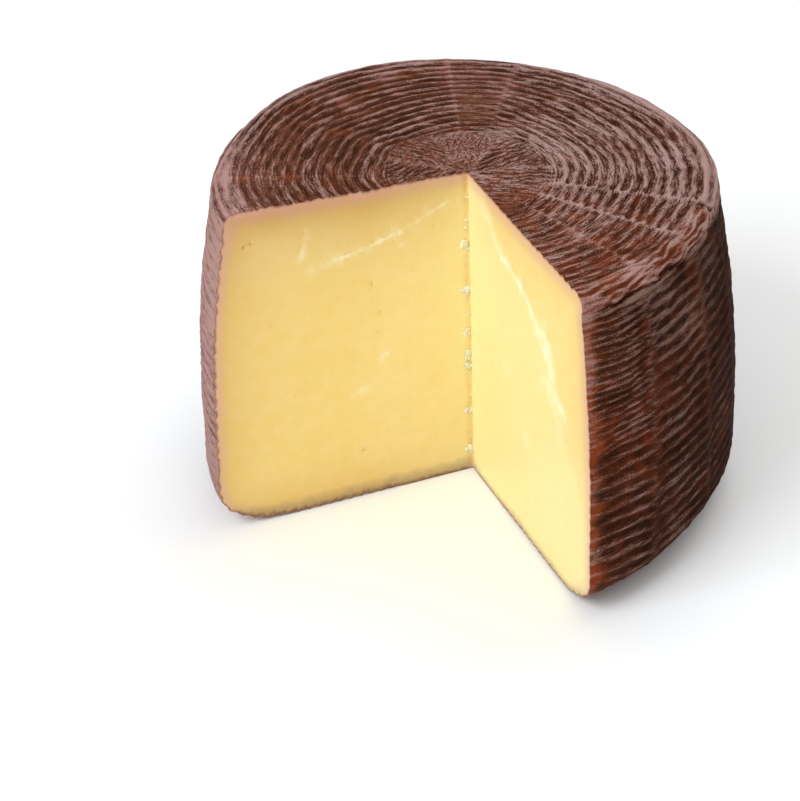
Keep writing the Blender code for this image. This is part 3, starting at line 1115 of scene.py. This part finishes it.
@dataclass
class CutSurface:
    """One cut face: the points of its mesh, the knife's traces and how far the paste has dried.

    Points on it are metres out from the axis and up. A ring is (millimetres under the outline, which
    outline points it follows), and the fresh limit is (height, way out) in millimetres, up to which the
    knife has smeared the right face.
    """

    form: WheelForm
    face: CutFace
    rings: tuple = ((0.9, 1), (1.8, 2), (3.2, 3), (5.2, 4))
    grid_mm: float = 2.6
    grid_count: int = 60
    strip_mm: tuple = (0.7, 1.3, 2.0, 3.0)
    lanes: tuple = (-1.2, -0.5, 0.0, 0.5, 1.2)
    least_gap: float = 0.00034
    fresh_limit: tuple = (
        (0.0, 110.0), (50.0, 94.0), (64.0, 81.5), (74.5, 80.0), (81.0, 74.5), (92.0, 71.0),
        (96.0, 61.0), (107.6, 42.0), (109.7, 30.0), (116.0, 24.0), (121.0, 20.0), (131.0, 15.0),
    )

    def under_rind(self, outline: Array) -> Array:
        """Points in rings that follow the outline a little way in.

        Args:
            outline: The rind's edge of the face.

        Returns:
            Rows of two coordinates.
        """
        centre = np.array([0.0, outline[:, 1].max() / 2])
        ahead = np.roll(outline, -2, axis=0) - np.roll(outline, 2, axis=0)
        inward = np.stack([-ahead[:, 1], ahead[:, 0]], axis=1)
        inward /= np.maximum(np.linalg.norm(inward, axis=1, keepdims=True), 1e-12)
        inward *= np.sign(np.sum((centre - outline) * inward, axis=1, keepdims=True) + 1e-12)
        return np.concatenate([outline[::gap] + deep * MM * inward[::gap] for deep, gap in self.rings])

    def grid_points(self) -> Array:
        """A wide, uneven grid over the whole face.

        Returns:
            Rows of two coordinates.
        """
        uneven = np.random.default_rng(71).uniform(-0.35, 0.35, (self.grid_count, self.grid_count, 2))
        steps = np.arange(self.grid_count)
        grid = np.stack(np.meshgrid(steps, steps, indexing="ij"), axis=-1)
        return ((grid + uneven) * (self.grid_mm * MM)).reshape(-1, 2)

    def mark_points(self, height: float) -> Array:
        """Close points along the inner edge and round every mark and pit, up to the face's height.

        Args:
            height: Metres up to the top of the face.

        Returns:
            Rows of two coordinates.
        """
        rng = np.random.default_rng(72)
        strip = np.meshgrid(self.strip_mm, np.arange(1.2, height / MM - 1.0, 0.8))
        strip = np.stack(strip, axis=-1).reshape(-1, 2)
        points = [(strip + rng.uniform(-0.15, 0.15, strip.shape)) * MM]
        for mark in MARKS[self.face]:
            path = np.array(mark.path) * MM
            total = np.concatenate([[0.0], np.cumsum(np.linalg.norm(np.diff(path, axis=0), axis=1))])
            spread = np.arange(0.0, total[-1], 0.6 * MM)
            line = np.stack([np.interp(spread, total, path[:, k]) for k in (0, 1)], axis=1)
            for lane in self.lanes:
                uneven = rng.uniform(-0.1, 0.1, line.shape) * MM
                points.append(line + lane * mark.width * MM * 0.5 + uneven)
        turn = np.arange(8) * math.pi / 4
        circle = np.stack([np.cos(turn), np.sin(turn)], axis=1)
        for pit in PITS[self.face]:
            for ring in (0.0, 0.6, 1.3):
                points.append(np.array([pit.out, pit.up]) * MM + ring * pit.size * MM * circle)
        return np.concatenate(points)

    def points(self, outline: Array) -> Array:
        """Choose inner points: close together under the rind and at the marks, wider inside.

        Args:
            outline: The rind's edge of the face.

        Returns:
            Rows of two coordinates, all inside the outline.
        """
        height, reach = outline[:, 1].max(), outline[:, 0].max()
        border = np.vstack([outline, outline[:1]])
        marks = self.mark_points(height)
        chosen = []
        for group, least, most, out, up in (
            (self.under_rind(outline), 0.0006, np.inf, 0.0008, 0.0004),
            (np.concatenate([self.grid_points(), marks]), 0.0060, np.inf, 0.0006, -np.inf),
            (marks, 0.0012, 0.0060, 0.0006, -np.inf),
        ):
            away = away_from_path(group, border)
            chosen.append(group[(group[:, 0] > out) & (group[:, 1] > up) & (away > least) & (away <= most)])
        points = np.concatenate(chosen)
        return thinned(points[(points[:, 0] < reach) & (points[:, 1] < height)], self.least_gap)

    def knife(self, points: Array, away_from_edge: Array) -> tuple[Array, Array, Array]:
        """Cut the face.

        Args:
            points: Places on the face.
            away_from_edge: Metres from each point to the face's nearest edge.

        Returns:
            Metres into the paste, how torn and pale the place is, and how much painted shade it has, in a
            pit or along the inner corner of the left face.
        """
        out, up = points.T
        sunk = Waver(81, 0.00016, 0.03, 0.018).at(out, up) + Waver(82, 0.00005, 0.004, 0.0035).at(out, up)
        torn, hole_and_corner_shade = np.zeros(len(points)), np.zeros(len(points))
        for index, mark in enumerate(MARKS[self.face]):
            away = away_from_path(points, np.array(mark.path) * MM)
            rough = 1 + Waver(90 + index, 0.75, 0.0022, 0.0018).at(out, up)
            share = np.exp(-((away / (mark.width * MM * 0.6 * rough)) ** 2))
            crumbly = 0.35 + Waver(120 + index, 1.0, 0.0011, 0.0011).at(out, up)
            sunk = sunk + share * mark.depth * MM * crumbly
            dabs = 0.7 + Waver(150 + index, 0.6, 0.005, 0.005).at(out, up)
            torn = np.maximum(torn, share * mark.paleness * dabs)
        for pit in PITS[self.face]:
            away = np.hypot(out - pit.out * MM, up - pit.up * MM)
            share = np.exp(-((away / (pit.size * MM * 0.8)) ** 2))
            sunk = sunk + share * pit.size * MM * pit.shade
            hole_and_corner_shade = np.maximum(hole_and_corner_shade, share * pit.shade)
        inner = np.exp(-((out / 0.0016) ** 2)) * smooth_step(0.0, 0.004, up)
        chipped = Waver(161, 1.0, 0.0021, 0.0012).at(up, out)
        # Along the inner corner of the left face, where the two cut faces meet, an orange-brown strip of
        # painted shade
        if self.face is CutFace.LEFT:
            corner_shade = inner * smooth_step(-0.5, 0.4, Waver(162, 1.0, 0.007, 0.002).at(up, out))
            hole_and_corner_shade = np.maximum(hole_and_corner_shade, 0.4 * corner_shade * (1 + 0.5 * chipped))
        torn = np.maximum(torn, 0.6 * inner * smooth_step(0.25, 0.7, chipped))
        sunk = sunk * smooth_step(0.0, 0.002, away_from_edge) + 0.00035 * inner * chipped
        return sunk, torn, hole_and_corner_shade

    def smear(self, points: Array) -> Array:
        """How far the knife has spread fresh, lemon-pale paste over the face, from 0 to 1.

        Args:
            points: Places on the face.

        Returns:
            One share for each point.
        """
        out, up = points.T
        cloud = wander(163, out / 0.018, up / 0.022)
        if self.face is CutFace.LEFT:
            return 0.42 * np.exp(-out / 0.014) * (1 + 0.3 * cloud) * smooth_step(0.0005, 0.003, out)
        limit_up, limit_out = np.array(self.fresh_limit).T * MM
        beyond = out - np.interp(up, limit_up, limit_out) + 0.003 * cloud
        return smooth_step(0.005, -0.003, beyond) * (0.27 + 0.07 * cloud + 0.38 * np.exp(-out / 0.018))

    def below_top(self, up: Array) -> Array:
        """Metres down from the wheel's top."""
        return self.form.height - self.form.top_dish - up

    def ageing(self, points: Array, rind_edge: Array) -> Array:
        """How far the paste has dried: down from the top and in from the rind, and less on the right.

        Args:
            points: Places on the face.
            rind_edge: The rind's edge of the face.

        Returns:
            One share from 0 to 1 for each point.
        """
        out, up = points.T
        edge = away_from_path(points, rind_edge)
        if self.face is CutFace.LEFT:
            top = self.below_top(up) + Waver(141, 0.003, 0.02, 0.02).at(out, up)
            share = 0.52 * np.exp(-np.maximum(top, 0.0) / 0.015) * (1 - 0.35 * np.exp(-out / 0.03))
            share = share + 0.50 * np.exp(-edge / 0.012) + 0.02
        else:
            share = 0.04 + 0.42 * np.exp(-edge / 0.0085) * smooth_step(0.030, 0.075, up)
        return np.clip(share, 0.0, 1.0)

    def margins(self, points: Array, under: Array) -> dict[str, Array]:
        """Colour the margin under the rind.

        Args:
            points: Places on the face.
            under: Metres in from the rind.

        Returns:
            Millimetres under the rind and to the margin's end, how near the foot the place is, which turns
            the margin into painted shade, and how golden the paste is inside the margin.
        """
        out, up = points.T
        top, foot = np.maximum(self.below_top(up), 0.0), self.form.near_foot(up)
        if self.face is CutFace.LEFT:
            under = under * (1 - 0.45 * foot)
            reach = 4.6 + 3.0 * np.exp(-top / 0.014)
            golden = -0.02 + 0.36 * smooth_step(0.026, 0.055, out) * smooth_step(0.010, 0.035, top)
        else:
            reach = 6.6 - 2.8 * foot
            golden = np.full(len(points), -0.08)
        return {"under": under / MM, "reach": reach, "foot": foot, "golden": golden}


@dataclass
class MeshDraft:
    """A mesh that is put together part by part, with the values that its finishes read."""

    names: tuple[str, ...]
    places: list[Array] = field(default_factory=list)
    values: list[dict[str, Array | float]] = field(default_factory=list)
    polygons: list[tuple[int, ...]] = field(default_factory=list)
    slots: list[int] = field(default_factory=list)

    def add_vertices(self, places: Array, **values: Array | float) -> int:
        """Add vertices.

        Args:
            places: Rows of three coordinates.
            values: What the finishes read there, by name; one that isn't given is 0.

        Returns:
            The number of the first new vertex.
        """
        first = sum(map(len, self.places))
        self.places.append(places)
        self.values.append(values)
        return first

    def add_faces(self, polygons: list[tuple[int, ...]], slot: int) -> None:
        """Add faces of one material slot."""
        self.polygons += polygons
        self.slots += [slot] * len(polygons)

    def mesh(self, name: str) -> bpy.types.Mesh:
        """Make the mesh with all its values.

        Args:
            name: The mesh's name.

        Returns:
            The new mesh.
        """
        mesh = bpy.data.meshes.new(name)
        mesh.from_pydata(np.concatenate(self.places).tolist(), [], self.polygons)
        mesh.polygons.foreach_set("material_index", self.slots)
        for own in self.names:
            parts = [np.broadcast_to(v.get(own, 0.0), len(p)) for p, v in zip(self.places, self.values)]
            store_values(mesh, {own: np.concatenate(parts)})
        return mesh


@dataclass
class CheeseWheel:
    """The wheel itself: rind, base and the two cut faces as one closed mesh."""

    form: WheelForm
    # Columns of the rind's mesh from one stake to the next, closer together beside the right cut face
    bay_columns: tuple = (24, 24, 24, 14, 13, 13, 13, 13, 13, 13, 13, 13, 13, 13, 13)
    axis_points: int = 140
    edge_wander: float = 0.00026
    margin_mm: float = 6.0
    sharp_cosine: float = 0.5
    side_fade: Stops = ((-90, 1.0), (150, 1.0), (166, 0.72), (180, 0.66))
    top_tone: Stops = (
        (-90, 1.0), (-55, 0.95), (-45, 0.88), (-25, 0.76), (35, 0.76), (60, 0.84), (120, 0.86),
        (145, 0.8), (155, 0.7), (180, 0.64),
    )
    dents: tuple = (Waver(53, 0.00045, 0.034, 0.03), Waver(54, 0.00014, 0.005, 0.004))
    skin: Waver = Waver(55, 0.00011, 0.0024, 0.0016)

    def __post_init__(self) -> None:
        """Make the print, the knot and the lip, and choose the rows and columns of the rind's mesh."""
        self.basket, self.knot = BasketPrint(self.form), CentreKnot()
        self.lip = RolledLip(self.basket)
        basket = self.basket
        ends = (0.0, 0.030, basket.foot, basket.neck, basket.lip, basket.star, basket.end)
        steps = (0.0030, 0.0014, 0.00076, 0.00048, 0.00058, 0.00080)
        rows = [
            np.linspace(low, high, math.ceil((high - low) / step) + 1)[:-1]
            for low, high, step in zip(ends, ends[1:], steps)
        ]
        self.rows = np.append(np.concatenate(rows), basket.end)
        edges = self.form.first_azimuth + basket.bay_angle * np.arange(len(self.bay_columns) + 1)
        bays = [
            np.linspace(low, high, count + 1)[:-1]
            for low, high, count in zip(edges, edges[1:], self.bay_columns)
        ]
        self.columns = np.append(np.concatenate(bays), edges[-1])

    def relief(self, place: RindPlace) -> tuple[Array, Array]:
        """Shape the rind over its smooth outline.

        Args:
            place: Where on the rind.

        Returns:
            Metres outward, and the height in the print from 0 in a groove to 1 on a ridge.
        """
        basket, distance, azimuth, arc = self.basket, place.distance, place.azimuth, place.arc
        on_side = smooth_step(basket.foot - 0.001, basket.foot + 0.003, distance)
        on_side = on_side * smooth_step(basket.neck + 0.0008, basket.neck - 0.0016, distance)
        rolled = round_trip(azimuth, self.lip.rolled)
        edge = basket.lip - (1 - rolled) * (basket.lip - basket.neck - 0.0028)
        on_top = smooth_step(-0.0015, 0.001, distance - edge)
        ragged = distance + Waver(49, 0.003, 0.008, 1.0).at(arc, arc)
        on_knot = smooth_step(basket.star - 0.004, basket.star + 0.002, ragged)
        side = basket.side(place) * on_side * round_trip(azimuth, self.side_fade)
        top = basket.top(place) * on_top * (1 - on_knot)
        knot, base = self.knot.grooves(place) * on_knot, basket.base(place)
        tone = round_trip(azimuth, self.top_tone) * (1 - 0.55 * basket.calm_bay(place))
        pattern = side + tone * top + 0.86 * knot + 0.6 * base + 0.05 * on_top
        deep = side * basket.side_wear(place) + top * basket.top_wear(place) + 0.36 * knot + 0.9 * base
        lip_out, lip_low = self.lip.relief(place)
        uneven = sum(layer.at(arc, distance) for layer in self.dents)
        uneven = uneven + self.skin.at(arc, distance) * (distance > 0.03)
        outward = lip_out + uneven * (place.height > 0.0004) - basket.reed_depth * deep
        seam = basket.seam(place, 0.0045, basket.side_stakes) * on_side
        return outward, np.clip(1 - pattern - lip_low - 0.5 * seam, 0.0, 1.0)

    def settled(self, place: RindPlace, outward: Array) -> Array:
        """Places in space of the rind, with its relief.

        Args:
            place: Where on the rind.
            outward: Metres of relief at each place.

        Returns:
            Rows of three coordinates.
        """
        moved = self.form.at(place.distance) + outward[..., None] * self.form.outward(place.distance)
        radius, height = np.maximum(np.moveaxis(moved, -1, 0), 0.0)
        return self.form.settle(radius, height, place.azimuth)

    def weave(self, place: RindPlace) -> Array:
        """Millimetres across and along the reeds, or the knot's strands, by which fibres are drawn.

        Args:
            place: Where on the rind.

        Returns:
            Two lengths and a zero for each place.
        """
        in_knot = place.distance > self.basket.star + 0.002
        across, along = self.knot.strands(place)
        across = np.where(in_knot, across, place.distance)
        along = np.where(in_knot, along, place.beyond(0.0))
        return np.stack([across, along, np.zeros_like(across)], axis=-1) / MM

    def spine(self, low: Array, high: Array) -> tuple[Array, Array]:
        """Run the slightly ragged inner edge up the axis.

        Args:
            low: Its lower end.
            high: Its upper end.

        Returns:
            Places in space, and the millimetres from each to the nearer end.
        """
        rise = np.linspace(0, 1, self.axis_points + 2)[1:-1, None]
        ragged = np.concatenate([wander(k, 70 * rise, rise) for k in (171, 172)] + [0 * rise], axis=1)
        places = low + (high - low) * rise + self.edge_wander * ragged
        return places, np.minimum(rise, 1 - rise)[:, 0] * (high - low)[2] / MM

    def close_cut(self, draft: MeshDraft, face: CutFace, rind: list[int], axis: list[int]) -> None:
        """Close the wheel with a cut face.

        Args:
            draft: The mesh so far.
            face: Which cut face to make.
            rind: Numbers of the vertices up the rind's edge.
            axis: Numbers of the vertices down the axis.
        """
        loop = rind + axis
        known = np.concatenate(draft.places)[loop]
        foot = np.append(known[0, :2], 0.0)
        border = np.stack([(known - foot)[:, :2] @ face.outward, known[:, 2]], axis=1)
        surface, rind_edge = CutSurface(self.form, face), border[: len(rind)]
        inner = surface.points(rind_edge)
        sunk, torn, hole_and_corner_shade = surface.knife(inner, away_from_path(inner, np.vstack([border, border[:1]])))
        spots = foot + inner[:, :1] * np.append(face.outward, 0.0) + inner[:, 1:] * np.array([0, 0, 1.0])
        spots = spots + sunk[:, None] * face.into
        values = {"aged": surface.ageing(inner, rind_edge), "smear": surface.smear(inner)}
        values |= {"mark": torn, "pit": hole_and_corner_shade} | surface.margins(inner, away_from_path(inner, rind_edge))
        corners = [Vector(corner) for corner in np.vstack([border, inner]).tolist()]
        outline = [list(range(len(loop)))]
        _, _, triangles, origin, _, _ = delaunay_2d_cdt(corners, [], outline, 1, 1e-9)
        sources = {k: min(origin[k]) for k in sorted({k for triangle in triangles for k in triangle})}
        picked = [source - len(loop) for source in sources.values() if source >= len(loop)]
        first = draft.add_vertices(spots[picked], **{name: own[picked] for name, own in values.items()})
        order = {source: first + index for index, source in enumerate(picked)}
        numbers = {k: loop[s] if s < len(loop) else order[s - len(loop)] for k, s in sources.items()}
        way = 1 if face is CutFace.RIGHT else -1
        draft.add_faces([tuple(numbers[k] for k in triangle)[::way] for triangle in triangles], PASTE_SLOT)

    def build(self) -> bpy.types.Object:
        """Put rind, axis and cut faces together as one closed mesh.

        Returns:
            The wheel, not yet dressed.
        """
        place = RindPlace(self.form, *np.meshgrid(self.rows, self.columns, indexing="ij"))
        outward, ridge = self.relief(place)
        grid = self.settled(place, outward)
        tints = RindTints(self.basket, place, ridge).values()
        low, high, ring = grid[0, 0], grid[-1, 0], grid[1:-1].reshape(-1, 3)
        draft = MeshDraft(RIND_VALUES + PASTE_VALUES)
        draft.add_vertices(np.stack([low, high]), reach=self.margin_mm)
        spine, under = self.spine(low, high)
        draft.add_vertices(spine, under=under, reach=self.margin_mm)
        first = draft.add_vertices(
            ring,
            reach=self.margin_mm,
            foot=self.form.near_foot(ring[:, 2]),
            **{name: values[1:-1].ravel() for name, values in tints.items()},
        )
        numbers = np.zeros(grid.shape[:2], int)
        numbers[-1] = 1
        numbers[1:-1] = first + np.arange(len(ring)).reshape(-1, grid.shape[1])
        corners = (numbers[:-1, :-1], numbers[:-1, 1:], numbers[1:, 1:], numbers[1:, :-1])
        corners = np.stack(corners, axis=-1).reshape(-1, 4).tolist()
        draft.add_faces([tuple(dict.fromkeys(four)) for four in corners], RIND_SLOT)
        for face, column in ((CutFace.RIGHT, 0), (CutFace.LEFT, -1)):
            self.close_cut(draft, face, numbers[:, column].tolist(), list(range(first - 1, 1, -1)))
        mesh = draft.mesh("cheese_wheel_dressed")
        weave = np.zeros((len(mesh.vertices), 3), np.float32)
        weave[first : first + len(ring)] = self.weave(place)[1:-1].reshape(-1, 3)
        weave[1] = (self.basket.end / MM, 0.0, 0.0)
        mesh.attributes.new("weave", "FLOAT_VECTOR", "POINT").data.foreach_set("vector", weave.ravel())
        self.finish_edges(mesh)
        wheel = bpy.data.objects.new("wine_aged_wheel", mesh)
        bpy.context.scene.collection.objects.link(wheel)
        return wheel

    def finish_edges(self, mesh: bpy.types.Mesh) -> None:
        """Turn the faces outward, shade them smooth and keep the knife's edges sharp.

        Args:
            mesh: The wheel's mesh.
        """
        bm = bmesh.new()
        bm.from_mesh(mesh)
        bmesh.ops.recalc_face_normals(bm, faces=bm.faces)
        for one in bm.faces:
            one.smooth = True
        for edge in (edge for edge in bm.edges if len(edge.link_faces) == 2):
            one, other = edge.link_faces
            at_rind = one.material_index != other.material_index
            in_paste = one.material_index == PASTE_SLOT and one.normal.dot(other.normal) < self.sharp_cosine
            if at_rind or in_paste:
                edge.smooth = False
        loose = sum(1 for edge in bm.edges if len(edge.link_faces) != 2)
        LOG.info("wheel: %d faces, %d open edges", len(bm.faces), loose)
        bm.to_mesh(mesh)
        bm.free()

    def dress(self, wheel: bpy.types.Object, rind: WineRind, paste: CutPaste) -> None:
        """Give the wheel its rind and paste and let it stand for the solid wheel.

        Args:
            wheel: The wheel that was built.
            rind: Its rind.
            paste: Its paste.
        """
        wheel.data.materials.append(rind.material())
        wheel.data.materials.append(paste.material())
        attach(wheel, "root")
        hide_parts("cheese_wheel")


@dataclass
class EdgeCrumbs:
    """Crumbs of paste that cling to the inner edge, in clusters.

    A cluster is (height, way out along the left face, size) in millimetres.
    """

    form: WheelForm
    clusters: tuple = (
        (119.0, 0.5, 1.0), (109.5, 0.6, 1.6), (106.0, 0.9, 1.2), (100.2, 1.5, 3.0), (98.0, 0.8, 1.8),
        (92.6, 0.4, 1.0), (80.3, 1.4, 2.6), (78.0, 0.5, 1.6), (69.6, 0.4, 1.2), (61.6, 1.8, 2.2),
        (52.6, 0.8, 2.8), (50.0, 0.7, 2.2), (46.6, 0.9, 2.4), (43.8, 0.5, 1.1), (33.0, 0.4, 1.0),
        (27.2, 2.2, 2.0), (27.0, 0.9, 2.4), (15.4, 0.4, 1.0), (9.4, 1.2, 2.6), (8.0, 0.4, 1.8),
    )
    lumps: int = 7
    # Limits of a lump's radius and the spread of the lumps, as shares of the cluster's size
    shares: tuple = (0.22, 0.48)
    spread: tuple = (0.34, 0.04, 0.20)
    stretch: tuple = (0.45, 1.5)
    roughness: tuple = (0.75, 1.2)
    flatness: float = 0.3
    # Pale torn paste, far from any rind
    values: tuple = (("under", 30.0), ("mark", 0.62), ("reach", 6.0), ("golden", -0.2))

    def add_lump(self, bm: bmesh.types.BMesh, rng: np.random.Generator, middle: Array, size: float) -> None:
        """Add one small closed lump that lies against the left face.

        Args:
            bm: The crumbs so far.
            rng: Draws the lump's size, turn and shape.
            middle: The cluster's place in space.
            size: The cluster's size in metres.
        """
        radius = size * rng.uniform(*self.shares)
        lump = bmesh.ops.create_icosphere(bm, subdivisions=2, radius=radius)["verts"]
        turn = Matrix.Rotation(rng.uniform(0, TURN), 3, rng.normal(size=3).tolist())
        stretch = rng.uniform(*self.stretch, 3)
        shift = Vector((middle + rng.normal(size=3) * self.spread * size).tolist())
        for vertex in lump:
            grown = zip(vertex.co * rng.uniform(*self.roughness), stretch)
            place = turn @ Vector([a * b for a, b in grown])
            place.y *= self.flatness
            vertex.co = place + shift

    def build(self) -> bpy.types.Object:
        """Make every cluster, all joined in one mesh.

        Returns:
            The crumbs, not yet dressed.
        """
        rng = np.random.default_rng(131)
        bm = bmesh.new()
        for up, out, size in self.clusters:
            middle = (self.form.axis_x - out * MM, self.form.axis_y - 0.1 * size * MM, up * MM)
            for _ in range(self.lumps):
                self.add_lump(bm, rng, np.array(middle), size * MM)
        for one in bm.faces:
            one.smooth = True
        mesh = bpy.data.meshes.new("edge_crumbs")
        bm.to_mesh(mesh)
        bm.free()
        own = dict(self.values)
        store_values(mesh, {name: np.full(len(mesh.vertices), own.get(name, 0.0)) for name in PASTE_VALUES})
        crumbs = bpy.data.objects.new("inner_edge_crumbs", mesh)
        bpy.context.scene.collection.objects.link(crumbs)
        return crumbs

    def dress(self, crumbs: bpy.types.Object) -> None:
        """Give the crumbs the paste's finish and fix them to the wheel.

        Args:
            crumbs: The crumbs that were built.
        """
        crumbs.data.materials.append(bpy.data.materials["sheep_goat_paste"])
        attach(crumbs, "root")


@dataclass(frozen=True)
class StudioFloor:
    """White lacquered board: rolled smooth and matt, so that it gives a soft even ground."""

    colour: str = "#FAFAFA"
    roughness: float = 0.7

    def material(self) -> bpy.types.Material:
        """Build the floor's material.

        Returns:
            The finished material.
        """
        material, _, shader = new_material("matt_white_lacquer")
        shader.inputs["Base Color"].default_value = linear(self.colour)
        shader.inputs["Roughness"].default_value = self.roughness
        return material


def towards(azimuth: float, elevation: float) -> Vector:
    """Unit vector from the wheel to a place round and above it; azimuth 0 is in front, + to the right."""
    turn, rise = math.radians(azimuth), math.radians(elevation)
    return Vector((math.sin(turn) * math.cos(rise), -math.cos(turn) * math.cos(rise), math.sin(rise)))


@dataclass(frozen=True)
class SoftLight:
    """A square soft light that looks at the wheel, with its side in metres and its power in watts."""

    name: str
    azimuth: float
    elevation: float
    away: float
    side: float
    watts: float
    colour: str
    aim: tuple = (0.0, 0.0, 0.06)

    def hang(self) -> None:
        """Put the light in the scene."""
        light = bpy.data.lights.new(self.name, "AREA")
        light.size, light.energy = self.side, self.watts
        light.color = linear(self.colour)[:3]
        back = towards(self.azimuth, self.elevation)
        lamp = bpy.data.objects.new(self.name, light)
        lamp.location = Vector(self.aim) + back * self.away
        lamp.rotation_mode = "QUATERNION"
        lamp.rotation_quaternion = (-back).to_track_quat("-Z", "Y")
        bpy.context.scene.collection.objects.link(lamp)


@dataclass
class Studio:
    """Floor, lights and camera: a large key light from the left, a weak fill, one behind and a pale sky."""

    floor_half: float = 6.0
    floor_level: float = -0.0001
    aim: tuple = (-0.02886, -0.00192, 0.04162)
    azimuth: float = -21.0
    elevation: float = 33.25
    distance: float = 1.077
    roll: float = -1.995
    lens: float = 130.0
    sensor_width: float = 36.0
    sky: float = 0.55
    sky_colour: str = "#FFFFFF"
    soft_lights: tuple = (
        SoftLight("key", -72.0, 42.0, 1.6, 0.9, 15.8, "#F2F9FF"),
        SoftLight("fill", -20.0, 40.0, 1.8, 1.2, 3.5, "#FFFBF2"),
        SoftLight("back", 125.0, 52.0, 1.8, 1.4, 12.0, "#FFFFFF"),
    )

    def floor(self) -> bpy.types.Object:
        """A large flat floor just under the wheel.

        Returns:
            The floor.
        """
        side, level = self.floor_half, self.floor_level
        mesh = bpy.data.meshes.new("floor")
        corners = [(-side, -side, level), (side, -side, level), (side, side, level), (-side, side, level)]
        mesh.from_pydata(corners, [], [(0, 1, 2, 3)])
        mesh.materials.append(StudioFloor().material())
        floor = bpy.data.objects.new("floor", mesh)
        bpy.context.scene.collection.objects.link(floor)
        return floor

    def lights(self) -> None:
        """Hang the lights and set the sky."""
        for light in self.soft_lights:
            light.hang()
        world = bpy.data.worlds.new("pale_room")
        world.use_nodes = True
        background = world.node_tree.nodes["Background"]
        background.inputs["Color"].default_value = linear(self.sky_colour)
        background.inputs["Strength"].default_value = self.sky
        bpy.context.scene.world = world

    def camera(self) -> None:
        """A long lens at the height and turn from which the cheese is looked at."""
        back = towards(self.azimuth, self.elevation)
        data = bpy.data.cameras.new("camera")
        data.lens, data.sensor_width, data.sensor_fit = self.lens, self.sensor_width, "AUTO"
        camera = bpy.data.objects.new("camera", data)
        tilt = Matrix.Rotation(math.radians(self.roll), 3, "Z")
        look = (-back).to_track_quat("-Z", "Y").to_matrix() @ tilt
        camera.matrix_world = Matrix.Translation(Vector(self.aim) + back * self.distance) @ look.to_4x4()
        bpy.context.scene.collection.objects.link(camera)
        bpy.context.scene.camera = camera


def main() -> None:
    """Build and dress everything in order, and log how many faces the wheel and the crumbs have."""
    logging.basicConfig(level=logging.INFO, format="%(message)s")
    bpy.context.scene.view_settings.view_transform = "Standard"
    form = WheelForm()
    maker = CheeseWheel(form)
    wheel = maker.build()
    maker.dress(wheel, WineRind(), CutPaste())
    LOG.info("wheel: %d triangles", sum(len(p.vertices) - 2 for p in wheel.data.polygons))
    crumb_maker = EdgeCrumbs(form)
    crumbs = crumb_maker.build()
    crumb_maker.dress(crumbs)
    LOG.info("crumbs: %d faces", len(crumbs.data.polygons))
    studio = Studio()
    studio.floor()
    studio.lights()
    studio.camera()
    LOG.info("studio: floor, lights and camera")


if __name__ == "__main__":
    main()
